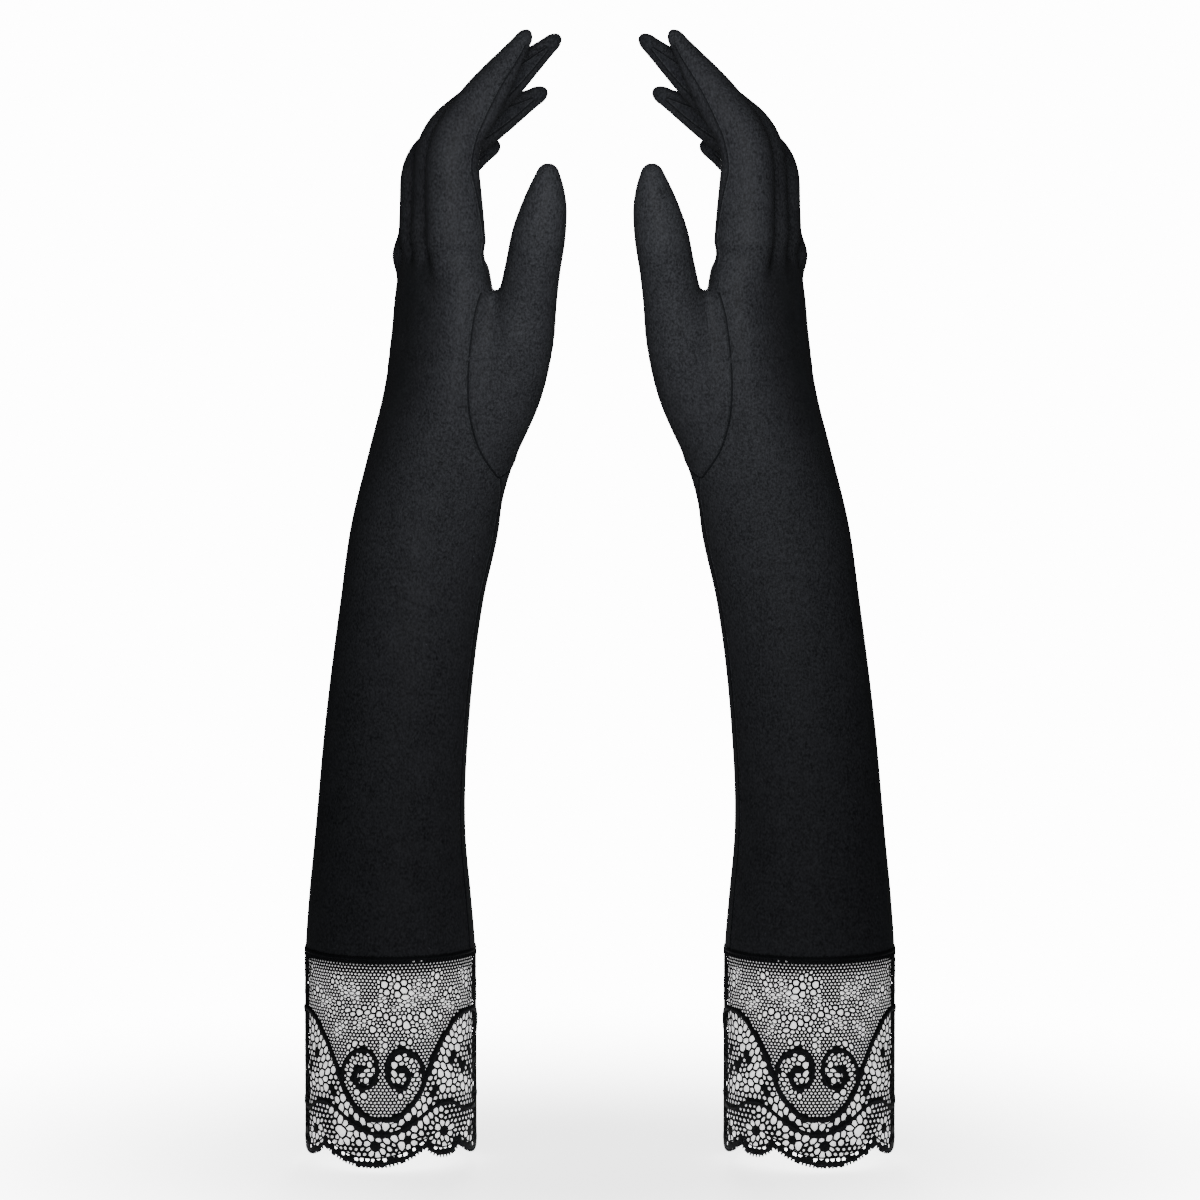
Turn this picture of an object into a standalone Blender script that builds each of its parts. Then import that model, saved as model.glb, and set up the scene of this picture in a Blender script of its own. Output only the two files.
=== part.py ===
"""A pair of long opera gloves in black stretch satin with deep lace cuffs.

Units are metres, +Z is up. The gloves stand as they are worn, fingers up, palms facing each
other, one on each side of the plane X = 0. The origin is midway between the two cuffs, at
the level of the lowest point of the lace hems.

A point of a glove is given by three local measures: p, from the back of the hand towards
the palm; n, from the thumb side towards the little finger; and z, the height. The right
glove is the mirror image of the left one.
"""
from math import cos, pi, radians, sin, sqrt, tan

import bmesh
import bpy
from mathutils import Vector

MM = 0.001

# Driving dimensions of the pair, in millimetres and degrees
HALF_SPACING = 80.0      # from the plane X = 0 to the middle of a cuff
TURN = 16.0              # each palm is turned away from the front by this angle
WALL = 0.9               # thickness of a fabric panel
GAP = 0.35               # clearance between neighbouring pieces

# Heights of the stages of a glove
LACE_TOP = 80.0          # where the satin begins
WRIST_LOW = 237.0        # the wrist bends between these two heights
WRIST_HIGH = 263.0
THUMB_FORK = 332.0       # the thumb leaves the hand here
THUMB_TIP = 380.0
HAND_HEIGHTS = (WRIST_HIGH, 273.0, 285.0, 298.0, 311.0, 322.0, THUMB_FORK - 0.4)

# The arm and hand: height, lean towards the palm, half depth, half breadth, squareness
ARM = (
    (-20.0, 0.0, 32.4, 31.6, 2.0),
    (80.0, 0.0, 32.8, 31.8, 2.0),
    (122.0, 0.0, 28.9, 28.6, 2.0),
    (168.0, 2.9, 27.4, 27.6, 2.0),
    (213.0, 8.4, 27.2, 27.6, 2.0),
    (243.0, 13.8, 27.6, 28.6, 2.0),
    (270.0, 17.8, 23.2, 33.0, 2.2),
    (293.0, 19.6, 17.6, 37.0, 2.5),
    (313.0, 20.6, 15.2, 38.4, 2.6),
    (332.0, 21.0, 14.0, 39.0, 2.6),
    (349.0, 21.0, 12.4, 38.6, 2.6),
)

# Bulge of the ball of the thumb: height, reach towards the palm, reach to the thumb side
THUMB_BULGE = (
    (255.0, 0.0, 0.0),
    (273.0, 8.0, -1.0),
    (293.0, 17.0, -4.0),
    (313.0, 18.0, -8.5),
    (332.0, 19.5, -14.2),
)

# The thumb: height, p and n of its middle, half depth, half breadth
THUMB = (
    (332.0, 22.5, -40.0, 10.8, 9.8),
    (347.0, 22.9, -47.8, 10.2, 9.3),
    (359.0, 24.3, -52.0, 9.6, 8.9),
    (370.0, 25.1, -54.5, 7.6, 7.0),
    (377.0, 25.4, -55.6, 4.8, 4.6),
    (380.0, 25.5, -56.0, 2.2, 2.2),
)
THUMB_SWING = 20.0

# Each finger: n of its middle, height of its root, rise and reach of the knuckle and of the
# tip from the root, half depths and half breadths at the root, the knuckle and the tip
FINGERS = {
    "index": (-28.0, 346.4, (39.5, -3.6), (83.0, 25.2), (10.8, 9.4, 3.9), (9.2, 9.0, 4.4)),
    "middle": (-9.0, 347.6, (40.2, -3.6), (79.4, 43.2), (10.8, 9.5, 4.0), (9.25, 9.1, 4.5)),
    "ring": (9.9, 346.4, (33.0, -3.8), (60.3, 43.3), (10.2, 9.2, 3.9), (9.1, 8.8, 4.3)),
    "little": (27.55, 340.8, (28.8, -1.0), (45.6, 29.3), (9.0, 8.2, 3.7), (8.15, 7.8, 3.9)),
}
FINGER_BACK = 15.0       # how far a finger bends back
KNUCKLE_SOFTNESS = 0.16  # share of the length over which a knuckle is rounded
TIP_ROUND_FROM = 0.93    # share of the length where the round tip begins
STRIP_END = 0.84         # share of the length where a fourchette runs out

# Seam directions round a section, in degrees from the palm towards the little finger
RADIAL_SEAM = -36.0
ULNAR_SEAM = 90.0
FOURCHETTE_HALF = 26.0   # half width of the strip let in between two fingers
FINGER_SEAM = -38.0      # seam on the index finger's palm edge
THUMB_DIRECTION = -62.0  # the middle of the thumb piece on the hand
THUMB_HOLE_HALF = 44.0   # half the width of the hole it is set in
SEAM_CLEARANCE = 3.2     # between the hole's edge and the thumb piece

# The lace band: one repeat of the pattern, and the scallops of its hem
LACE_REPEATS = 2.5
CUFF_LEVEL = 40.0        # the height at which the way round the cuff is measured
NET_WALL = 0.5
CORD_RADIUS = 0.9
PICOT_RADIUS = 0.75
BAND_LOW, BAND_HIGH = 1.5, 4.5  # the seam band's edges, above the lace's top
HEART_DIRECTION = -109.5  # where the middle of the front repeat lies
VALLEY_HEIGHT = 8.4
SCALLOPS = ((-25.0, 17.0, 1.0), (17.0, 33.4, 4.2), (33.4, 57.9, 3.6))
# The outline cord over half a repeat: distance from the heart's middle and height
CORD_LINE = (
    (0.0, 19.0), (7.4, 20.9), (12.5, 25.2), (16.0, 32.0), (19.5, 41.0), (24.5, 49.5),
    (31.0, 56.2), (41.4, 58.0),
)

MATERIALS = {
    "satin": ((0.016, 0.017, 0.02), 0.55),
    "fourchette_satin": ((0.014, 0.015, 0.018), 0.6),
    "lace": ((0.012, 0.012, 0.014), 0.8),
    "thread": ((0.01, 0.01, 0.012), 0.7),
}


def clear_scene():
    for thing in list(bpy.data.objects):
        bpy.data.objects.remove(thing)


def material(name):
    found = bpy.data.materials.get(name)
    if found:
        return found
    colour, roughness = MATERIALS[name]
    made = bpy.data.materials.new(name)
    made.use_nodes = True
    shader = made.node_tree.nodes["Principled BSDF"]
    shader.inputs["Base Color"].default_value = (*colour, 1)
    shader.inputs["Roughness"].default_value = roughness
    shader.inputs["Metallic"].default_value = 0
    return made


def table_value(table, at):
    """The row of a table at a place between its rows, on a smooth curve through them."""
    if at <= table[0][0]:
        return table[0][1:]
    if at >= table[-1][0]:
        return table[-1][1:]
    i = max(k for k in range(len(table) - 1) if table[k][0] <= at)
    before, low, high, after = (table[min(max(k, 0), len(table) - 1)]
                                for k in (i - 1, i, i + 1, i + 2))
    span = high[0] - low[0]
    s = (at - low[0]) / span
    found = []
    for k in range(1, len(low)):
        slope_low = (high[k] - before[k]) / (high[0] - before[0])
        slope_high = (after[k] - low[k]) / (after[0] - low[0])
        found.append((2 * s**3 - 3 * s**2 + 1) * low[k] + (3 * s**2 - 2 * s**3) * high[k]
                     + (s**3 - 2 * s**2 + s) * span * slope_low
                     + (s**3 - s**2) * span * slope_high)
    return found


def power(value, exponent):
    return abs(value) ** exponent * (1 if value >= 0 else -1)


def oval(half_p, half_n, squareness, angle):
    """A point of a squared oval at a direction from the palm, in degrees."""
    a = radians(angle)
    return (half_p * power(cos(a), 2 / squareness), half_n * power(sin(a), 2 / squareness))


def world(side, lean, p, n, z):
    """The world point of a local point. side is -1 for the left glove, 1 for the right."""
    turn = radians(TURN)
    x = -HALF_SPACING + lean + p * cos(turn) - n * sin(turn)
    y = p * sin(turn) + n * cos(turn)
    return Vector((-side * x, y, z)) * MM


def arm_point(side, angle, z, inset=0.0, bulge=0.0):
    """A point of the arm or hand. bulge is the share of the thumb's bulge it takes."""
    lean, half_p, half_n, squareness = table_value(ARM, z)
    p, n = oval(half_p - inset, half_n - inset, squareness, angle)
    if bulge:
        reach_p, reach_n = table_value(THUMB_BULGE, z)
        p += bulge * reach_p
        n += bulge * reach_n
    return world(side, lean, p, n, z)


def spread(low, high, count):
    return [low + (high - low) * k / (count - 1) for k in range(count)]


def piece(name, outer, inner, slot, ring=False, parent=None):
    """A closed shell between two grids of points, as one object on its parent's origin."""
    rows, columns = len(outer), len(outer[0])
    mesh = bpy.data.meshes.new(name)
    build = bmesh.new()
    base = parent.matrix_world.translation if parent else Vector()
    out = [[build.verts.new(v - base) for v in row] for row in outer]
    into = [[build.verts.new(v - base) for v in row] for row in inner]
    last = columns if ring else columns - 1
    for r in range(rows - 1):
        for c in range(last):
            d = (c + 1) % columns
            build.faces.new((out[r][c], out[r][d], out[r + 1][d], out[r + 1][c]))
            build.faces.new((into[r][c], into[r + 1][c], into[r + 1][d], into[r][d]))
    for r in (0, rows - 1):
        for c in range(last):
            d = (c + 1) % columns
            build.faces.new((out[r][c], into[r][c], into[r][d], out[r][d]))
    if not ring:
        for c in (0, columns - 1):
            for r in range(rows - 1):
                build.faces.new((out[r][c], out[r + 1][c], into[r + 1][c], into[r][c]))
    bmesh.ops.recalc_face_normals(build, faces=build.faces)
    build.to_mesh(mesh)
    build.free()
    mesh.shade_smooth()
    mesh.set_sharp_from_angle(angle=radians(40))
    mesh.materials.append(material(slot))
    made = bpy.data.objects.new(name, mesh)
    bpy.context.scene.collection.objects.link(made)
    made.parent = parent
    return made


def joint_origin(name, at, parent=None):
    """An empty on a joint's axis, which carries the pieces that turn about it."""
    made = bpy.data.objects.new(name, None)
    bpy.context.scene.collection.objects.link(made)
    made.empty_display_size = 0.01
    made.parent = parent
    made.location = at - (parent.matrix_world.translation if parent else Vector())
    bpy.context.view_layer.update()
    return made


def tube_loop(name, line, radius, sides, slot, parent):
    """A closed ring of cord along a loop of (point, outward, along) places."""
    rows = []
    for point, outward, along in line:
        up = along.cross(outward).normalized()
        rows.append([point + (outward * cos(2 * pi * k / sides)
                              + up * sin(2 * pi * k / sides)) * radius * MM
                     for k in range(sides)])
    mesh = bpy.data.meshes.new(name)
    build = bmesh.new()
    base = parent.matrix_world.translation
    verts = [[build.verts.new(v - base) for v in row] for row in rows]
    for r in range(len(rows)):
        s = (r + 1) % len(rows)
        for k in range(sides):
            m = (k + 1) % sides
            build.faces.new((verts[r][k], verts[s][k], verts[s][m], verts[r][m]))
    bmesh.ops.recalc_face_normals(build, faces=build.faces)
    build.to_mesh(mesh)
    build.free()
    mesh.shade_smooth()
    mesh.materials.append(material(slot))
    made = bpy.data.objects.new(name, mesh)
    bpy.context.scene.collection.objects.link(made)
    made.parent = parent
    return made


def hem_height(u):
    """Height of the scalloped hem at a distance u round the cuff from the front heart."""
    repeat = 2 * pi * table_value(ARM, CUFF_LEVEL)[1] / LACE_REPEATS
    first = SCALLOPS[0][0]
    u = (u - first) % repeat + first
    for low, high, bottom in SCALLOPS:
        if low <= u <= high:
            share = abs(2 * (u - low) / (high - low) - 1)
            return bottom + (VALLEY_HEIGHT - bottom) * share**2.2
    return VALLEY_HEIGHT


def cord_height(u):
    """Height of the outline cord: down into the heart's point, and over each arch."""
    repeat = 2 * pi * table_value(ARM, CUFF_LEVEL)[1] / LACE_REPEATS
    u = abs((u + repeat / 2) % repeat - repeat / 2)
    return table_value(CORD_LINE, u)[0]


def round_cuff(angle):
    """Distance round the cuff from the front heart to a direction, from -half to half."""
    radius = table_value(ARM, CUFF_LEVEL)[1]
    turned = (angle - HEART_DIRECTION + 180) % 360 - 180
    return radians(turned) * radius


def lace_cuff(side, tag, parent):
    """The lace net, its outline cord, its looped hem and the band that joins it on."""
    columns = 72
    angles = [HEART_DIRECTION - 180 + 360 * (c + 0.5) / columns for c in range(columns)]
    grids = []
    for inset in (0.0, NET_WALL):
        rows = []
        for share in (0.0, 0.3, 0.65, 1.0):
            row = []
            for a in angles:
                low = hem_height(round_cuff(a)) + 1.1
                z = low + (LACE_TOP - GAP - low) * share
                row.append(arm_point(side, a, z, inset))
            rows.append(row)
        grids.append(rows)
    piece(tag + "_lace_net", grids[0], grids[1], "lace", True, parent)

    def loop(height, stand):
        line = []
        for a in angles:
            z = height(round_cuff(a))
            here = arm_point(side, a, z, -stand)
            near = arm_point(side, a + 0.5, height(round_cuff(a + 0.5)), -stand)
            outward = (here - arm_point(side, a, z, 5.0)).normalized()
            line.append((here, outward, (near - here).normalized()))
        return line

    cord_line = loop(cord_height, GAP + CORD_RADIUS + 0.05)
    tube_loop(tag + "_lace_cord", cord_line, CORD_RADIUS, 5, "lace", parent)
    picot_line = loop(lambda u: hem_height(u) - 0.15, -NET_WALL / 2)
    tube_loop(tag + "_lace_picot_edge", picot_line, PICOT_RADIUS, 4, "lace", parent)
    band = [[[arm_point(side, a, LACE_TOP + z, inset) for a in angles[::2]]
             for z in (BAND_LOW, BAND_HIGH)]
            for inset in (WALL + 3 * GAP, 2 * WALL + 3 * GAP)]
    piece(tag + "_cuff_seam_band", band[0], band[1], "thread", True, parent)


def shell_between(side, low, high, seams, columns, rows):
    """Outer and inner grids of the arm's wall between two heights and two seams."""
    grids = []
    for inset in (0.0, WALL):
        grid = []
        for z in spread(low, high, rows):
            half_gap = GAP / 2 / table_value(ARM, z)[1] * 180 / pi
            angles = spread(seams[0] + half_gap, seams[1] - half_gap, columns)
            grid.append([arm_point(side, a, z, inset) for a in angles])
        grids.append(grid)
    return grids


def sleeve(side, tag, parent):
    seams = (ULNAR_SEAM, RADIAL_SEAM + 360)
    back = shell_between(side, LACE_TOP + GAP, WRIST_LOW, seams, 13, 7)
    palm = shell_between(side, LACE_TOP + GAP, WRIST_LOW, (RADIAL_SEAM, ULNAR_SEAM), 8, 7)
    piece(tag + "_sleeve_back_panel", back[0], back[1], "satin", False, parent)
    piece(tag + "_sleeve_palm_panel", palm[0], palm[1], "satin", False, parent)


def wrist(side, tag, parent):
    """The ring of satin that folds as the wrist bends."""
    angles = spread(0.0, 345.0, 24)
    grids = [[[arm_point(side, a, z, inset) for a in angles]
              for z in spread(WRIST_LOW + GAP, WRIST_HIGH - GAP, 4)]
             for inset in (0.0, WALL)]
    piece(tag + "_wrist_section", grids[0], grids[1], "satin", True, parent)


def hand_top(n):
    """Height of the hand's upper edge, below the finger roots."""
    return 346.2 - 0.0047 * (n + 8.0)**2


def hand_grid(side, edges, columns, inset):
    """A wall of the hand from the wrist to the finger roots, between two edge lines."""
    grid = []
    for z in (*HAND_HEIGHTS, None):
        level = z or ARM[-1][0]
        half_p, half_n, squareness = table_value(ARM, level)[1:]
        half_gap = GAP / (half_p + half_n) * 180 / pi
        low, high = (edge(level) for edge in edges)
        row = []
        for a in spread(low + half_gap, high - half_gap, columns):
            height = z or hand_top(oval(half_p, half_n, squareness, a)[1])
            row.append(arm_point(side, a, height, inset))
        grid.append(row)
    return grid


def thumb_hole_half(z):
    """Half the opening, in degrees, that the thumb piece fills at a height."""
    if z > THUMB_FORK:
        return 0.0
    share = (z - WRIST_HIGH) / (THUMB_FORK - WRIST_HIGH)
    return THUMB_HOLE_HALF * sin(pi / 2 * min(1.0, 0.45 + 1.1 * share))


def hand(side, tag, parent):
    """Back panel, palm panel and, between them, the lower part of the thumb piece."""
    def back_edge(z):
        return THUMB_DIRECTION + 360 - thumb_hole_half(z)

    def palm_edge(z):
        return THUMB_DIRECTION + thumb_hole_half(z)

    def ulnar_edge(z):
        return ULNAR_SEAM

    back = [hand_grid(side, (ulnar_edge, back_edge), 13, inset) for inset in (0.0, WALL)]
    palm = [hand_grid(side, (palm_edge, ulnar_edge), 9, inset) for inset in (0.0, WALL)]
    piece(tag + "_hand_back_panel", back[0], back[1], "satin", False, parent)
    piece(tag + "_hand_palm_panel", palm[0], palm[1], "satin", False, parent)

    ball = []
    for inset in (0.0, WALL):
        grid = []
        for z in HAND_HEIGHTS:
            half = thumb_hole_half(z) - SEAM_CLEARANCE
            row = []
            for share in spread(-1.0, 1.0, 9):
                angle = THUMB_DIRECTION + share * half
                row.append(arm_point(side, angle, z, inset, 1 - share**2))
            grid.append(row)
        ball.append(grid)
    piece(tag + "_thumb_base_panel", ball[0], ball[1], "satin", False, parent)


def thumb_point(side, z, angle, inset):
    mid_p, mid_n, half_p, half_n = table_value(THUMB, z)
    p, n = oval(half_p - inset, half_n - inset, 2.1, angle)
    lift = 0.0
    if z < THUMB_FORK + 12:
        fade = 1 - (z - THUMB_FORK) / 12
        lift = (abs(p) * tan(radians(THUMB_SWING + 1)) + 2 * GAP) * fade
    return world(side, ARM[-1][1], mid_p + p, mid_n + n, z + lift)


def thumb(side, tag, parent):
    heights = spread(THUMB_FORK, THUMB_TIP, 9)
    angles = spread(0.0, 330.0, 12)
    grids = [[[thumb_point(side, z, a, inset) for a in angles] for z in heights]
             for inset in (0.0, WALL)]
    piece(tag + "_thumb_stall", grids[0], grids[1], "satin", True, parent)


class Finger:
    """The line, the sections and the seams of one finger."""

    def __init__(self, name):
        self.name = name
        self.n, self.root, self.knuckle, self.tip, self.depths, self.breadths = FINGERS[name]

    def hinge(self):
        """The local p and z of the axis: the palm edge of the finger's root."""
        return self.depths[0], self.root

    def middle(self, s):
        """p and z of the finger's middle line at a share s of its length."""
        rise_k, reach_k = self.knuckle
        rise_t, reach_t = self.tip
        proximal = sqrt(rise_k**2 + reach_k**2)
        distal = sqrt((rise_t - rise_k)**2 + (reach_t - reach_k)**2)
        bend = proximal / (proximal + distal)
        soft = KNUCKLE_SOFTNESS
        if s < bend - soft:
            share = s / bend
            return reach_k * share, self.root + rise_k * share
        if s > bend + soft:
            share = (s - bend) / (1 - bend)
            return (reach_k + (reach_t - reach_k) * share,
                    self.root + rise_k + (rise_t - rise_k) * share)
        low, high = (bend - soft) / bend, soft / (1 - bend)
        start = (reach_k * low, rise_k * low)
        end = (reach_k + (reach_t - reach_k) * high, rise_k + (rise_t - rise_k) * high)
        t = (s - bend + soft) / (2 * soft)
        p, z = ((1 - t)**2 * a + 2 * t * (1 - t) * b + t**2 * c
                for a, b, c in zip(start, (reach_k, rise_k), end))
        return p, self.root + z

    def halves(self, s):
        """Half depth and half breadth at a share s of the length, with a round tip."""
        shares = ((0.0, self.depths[0], self.breadths[0]),
                  (0.42, self.depths[1], self.breadths[1]),
                  (0.72, (self.depths[1] + self.depths[2]) / 2 + 0.4,
                   (self.breadths[1] + self.breadths[2]) / 2 + 1.0),
                  (1.0, self.depths[2], self.breadths[2]))
        half_p, half_n = table_value(shares, s)
        if s > TIP_ROUND_FROM:
            share = (s - TIP_ROUND_FROM) / (1 - TIP_ROUND_FROM)
            fall = sqrt(max(0.0, 1 - share**2))
            half_p = max(2 * WALL, half_p * fall)
            half_n = max(2 * WALL, half_n * fall)
        return half_p, half_n

    def point(self, side, s, angle, inset):
        p, z = self.middle(s)
        q, w = self.middle(min(1.0, s + 0.02))
        o, v = self.middle(max(0.0, s - 0.02))
        along_p, along_z = q - o, w - v
        length = sqrt(along_p**2 + along_z**2)
        along_p, along_z = along_p / length, along_z / length
        half_p, half_n = self.halves(s)
        a, b = oval(half_p - inset, half_n - inset, 2.25, angle)
        local_p, local_z = p + a * along_z, z - a * along_p
        if s < 0.2:
            lift = (self.depths[0] - a) * tan(radians(FINGER_BACK + 1)) + GAP
            local_z += lift * (1 - s / 0.2)
        return world(side, ARM[-1][1], local_p, self.n + b, local_z)

    def strip_half(self, s):
        """Half width, in degrees, of the fourchette at a share s of the length."""
        if s >= STRIP_END:
            return 0.0
        return FOURCHETTE_HALF * (1 - (s / STRIP_END)**1.6)

    def grids(self, side, low_edge, high_edge, columns, shares):
        found = []
        for inset in (0.0, WALL):
            grid = []
            for s in shares:
                half_p, half_n = self.halves(s)
                half_gap = GAP / 2 / min(half_p, half_n) * 180 / pi * 1.5
                angles = spread(low_edge(s) + half_gap, high_edge(s) - half_gap, columns)
                grid.append([self.point(side, s, a, inset) for a in angles])
            found.append(grid)
        return found

    def build(self, side, tag, parent):
        radial = self.name != "index"
        ulnar = self.name != "little"

        def ulnar_low(s):
            return 90 - (self.strip_half(s) if ulnar else 0)

        def ulnar_high(s):
            return 90 + (self.strip_half(s) if ulnar else 0)

        def radial_low(s):
            return -90 - self.strip_half(s) if radial else FINGER_SEAM

        def radial_high(s):
            return -90 + self.strip_half(s) if radial else FINGER_SEAM

        shares = spread(0.0, 0.9, 8) + [0.95, 0.98, 1.0]
        name = tag + "_" + self.name
        back = self.grids(side, ulnar_high, lambda s: radial_low(s) + 360, 6, shares)
        palm = self.grids(side, radial_high, ulnar_low, 5, shares)
        piece(name + "_back_panel", back[0], back[1], "satin", False, parent)
        piece(name + "_palm_panel", palm[0], palm[1], "satin", False, parent)
        strip_shares = spread(0.0, 0.78, 7)
        if ulnar:
            strip = self.grids(side, ulnar_low, ulnar_high, 2, strip_shares)
            piece(name + "_fourchette_ulnar", strip[0], strip[1], "fourchette_satin",
                  False, parent)
        if radial:
            strip = self.grids(side, radial_low, radial_high, 2, strip_shares)
            piece(name + "_fourchette_radial", strip[0], strip[1], "fourchette_satin",
                  False, parent)


def glove(side, tag):
    lean = ARM[-1][1]
    cuff = joint_origin(tag + "_cuff_origin", world(side, 0, 0, 0, 0))
    wrist_mid = (WRIST_LOW + WRIST_HIGH) / 2
    wrist_at = world(side, table_value(ARM, wrist_mid)[0], 0, 0, wrist_mid)
    palm_origin = joint_origin(tag + "_wrist_origin", wrist_at, cuff)
    lace_cuff(side, tag, cuff)
    sleeve(side, tag, cuff)
    wrist(side, tag, cuff)
    hand(side, tag, palm_origin)
    fork = world(side, lean, THUMB[0][1], THUMB[0][2], THUMB_FORK + 2 * GAP)
    thumb(side, tag, joint_origin(tag + "_thumb_origin", fork, palm_origin))
    for name in FINGERS:
        finger = Finger(name)
        p, z = finger.hinge()
        origin = joint_origin(tag + "_" + name + "_origin",
                              world(side, lean, p, finger.n, z), palm_origin)
        finger.build(side, tag, origin)


def main():
    clear_scene()
    glove(-1, "left")
    glove(1, "right")


main()
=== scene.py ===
"""The looks of a pair of black satin opera gloves with lace cuffs.

The satin is meshed from one smooth distance field per glove, in which the arm, the fingers
and the thumb melt into each other, and is then cut into the glove's panels. Seams are welts
that follow the panels' edges. The lace is a sheet of real threads with real holes.

Lengths are in millimetres until a mesh is made. The field describes the left glove, and the
right glove is its mirror image.
"""

from math import cos, hypot, pi, radians, sin

import bpy
import numpy as np
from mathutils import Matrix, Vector
from mathutils.geometry import delaunay_2d_cdt


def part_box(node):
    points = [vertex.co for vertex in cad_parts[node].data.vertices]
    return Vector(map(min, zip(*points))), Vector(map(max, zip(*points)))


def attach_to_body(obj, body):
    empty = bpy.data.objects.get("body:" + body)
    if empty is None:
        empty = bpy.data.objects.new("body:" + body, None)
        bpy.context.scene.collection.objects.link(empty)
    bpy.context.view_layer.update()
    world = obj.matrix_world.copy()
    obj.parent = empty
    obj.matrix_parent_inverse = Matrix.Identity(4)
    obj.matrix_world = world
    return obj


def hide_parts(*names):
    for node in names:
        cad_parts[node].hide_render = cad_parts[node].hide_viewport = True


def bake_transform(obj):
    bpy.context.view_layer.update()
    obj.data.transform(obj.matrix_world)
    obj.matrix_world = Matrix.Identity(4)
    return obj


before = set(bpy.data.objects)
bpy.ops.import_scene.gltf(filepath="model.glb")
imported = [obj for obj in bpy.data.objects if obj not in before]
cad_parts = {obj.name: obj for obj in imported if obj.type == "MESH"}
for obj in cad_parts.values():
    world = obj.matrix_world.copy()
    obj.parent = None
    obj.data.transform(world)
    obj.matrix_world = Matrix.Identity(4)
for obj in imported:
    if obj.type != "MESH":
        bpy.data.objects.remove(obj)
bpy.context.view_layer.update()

MM = 0.001
SIDES = (("left", 1), ("right", -1))


# ---------------------------------------------------------------- the glove's shape

def smooth_table(table, step=0.5):
    """Columns of a table as functions of its first column, on a smooth curve."""
    rows = np.array(table, float)
    at = np.arange(rows[0, 0], rows[-1, 0] + step, step)
    slopes = np.gradient(rows[:, 1:], rows[:, 0], axis=0)
    i = np.clip(np.searchsorted(rows[:, 0], at, side="right") - 1, 0, len(rows) - 2)
    span = (rows[i + 1, 0] - rows[i, 0])[:, None]
    s = np.clip((at[:, None] - rows[i, 0][:, None]) / span, 0, 1)
    low, high = rows[i, 1:], rows[i + 1, 1:]
    values = ((2 * s**3 - 3 * s**2 + 1) * low + (3 * s**2 - 2 * s**3) * high
              + (s**3 - 2 * s**2 + s) * span * slopes[i]
              + (s**3 - s**2) * span * slopes[i + 1])
    return [lambda x, v=values[:, k]: np.interp(x, at, v) for k in range(values.shape[1])]


TURN = radians(16.0)
HALF_SPACING = -(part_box("left_lace_net")[0].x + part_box("left_lace_net")[1].x) / 2 / MM

# The arm and hand: height, lean towards the palm, half depth, half breadth, squareness
ARM = smooth_table((
    (60.0, 0.0, 32.7, 31.8, 2.0),
    (80.0, 0.0, 32.5, 31.6, 2.0),
    (100.0, -0.1, 31.0, 30.4, 2.0),
    (122.0, 0.0, 28.9, 28.6, 2.0),
    (168.0, 2.9, 27.4, 27.6, 2.0),
    (213.0, 8.5, 27.2, 27.6, 2.0),
    (243.0, 13.8, 28.0, 29.0, 2.05),
    (270.0, 17.6, 24.2, 33.4, 2.2),
    (293.0, 19.4, 18.8, 37.2, 2.4),
    (313.0, 20.6, 16.2, 38.6, 2.5),
    (330.0, 21.0, 14.6, 38.8, 2.5),
    (340.0, 21.0, 13.0, 37.8, 2.4),
    (352.0, 21.0, 10.4, 35.8, 2.3),
))
ROOT_LEAN = 21.0

# The thumb's middle line from inside the wrist to the tip: height, p, n and radius
THUMB_LINE = (
    (252.0, 8.0, -11.0, 11.0), (264.0, 10.5, -15.0, 13.2), (280.0, 14.2, -20.0, 14.4),
    (296.0, 18.0, -26.0, 14.8), (313.0, 20.6, -33.2, 13.2), (328.0, 22.0, -38.8, 11.2),
    (340.0, 22.6, -44.4, 10.4), (352.0, 23.4, -49.6, 10.1), (362.0, 24.6, -52.8, 8.6),
    (369.0, 25.2, -54.4, 6.6), (375.0, 25.5, -55.3, 4.4),
)

# Each finger: n, height of the root, reach inside the hand, rise and reach of the knuckle
# and of the tip from the root, half depths and half breadths at the root, at the knuckle,
# half way along the end and at the tip
FINGERS = {
    "index": (-28.0, 346.4, -1.2, (39.5, -4.4), (77.4, 22.6),
              (11.4, 9.6, 8.0, 3.5), (9.3, 9.1, 8.1, 3.8)),
    "middle": (-9.0, 347.6, -4.2, (40.4, -3.8), (75.6, 38.6),
               (11.0, 9.4, 7.8, 3.4), (9.35, 9.2, 8.1, 3.8)),
    "ring": (9.9, 346.4, -3.8, (34.0, -4.6), (57.4, 38.0),
             (10.4, 9.5, 8.0, 3.6), (9.2, 8.9, 7.8, 3.8)),
    "little": (27.55, 340.8, -2.0, (29.5, -1.2), (42.8, 24.0),
               (9.2, 8.5, 7.6, 3.8), (8.25, 7.9, 7.0, 3.7)),
}
TIP_ROUND = 6.0          # how far the fingertip's round end stands beyond the tip
SINK_BELOW = 3.0         # below this place a finger sinks into the hand
ROOT_DEPTH = 26.0        # how far a finger's line runs down into the hand
CUT_ABOVE_ROOT = 2.5     # where the hand's piece ends and a finger's piece begins


def local(points):
    """p, n and z of points given as x, y, z in millimetres."""
    x = points[:, 0] + HALF_SPACING - ARM[0](points[:, 2])
    y = points[:, 1]
    return x * cos(TURN) + y * sin(TURN), y * cos(TURN) - x * sin(TURN), points[:, 2]


def placed(p, n, z, lean=None):
    """x, y, z of local points. lean is the arm's own unless it is given."""
    p, n, z = (np.asarray(v, float) for v in (p, n, z))
    shift = ARM[0](z) if lean is None else lean
    x = -HALF_SPACING + shift + p * cos(TURN) - n * sin(TURN)
    return np.stack(np.broadcast_arrays(x, p * sin(TURN) + n * cos(TURN), z), -1)


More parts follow.
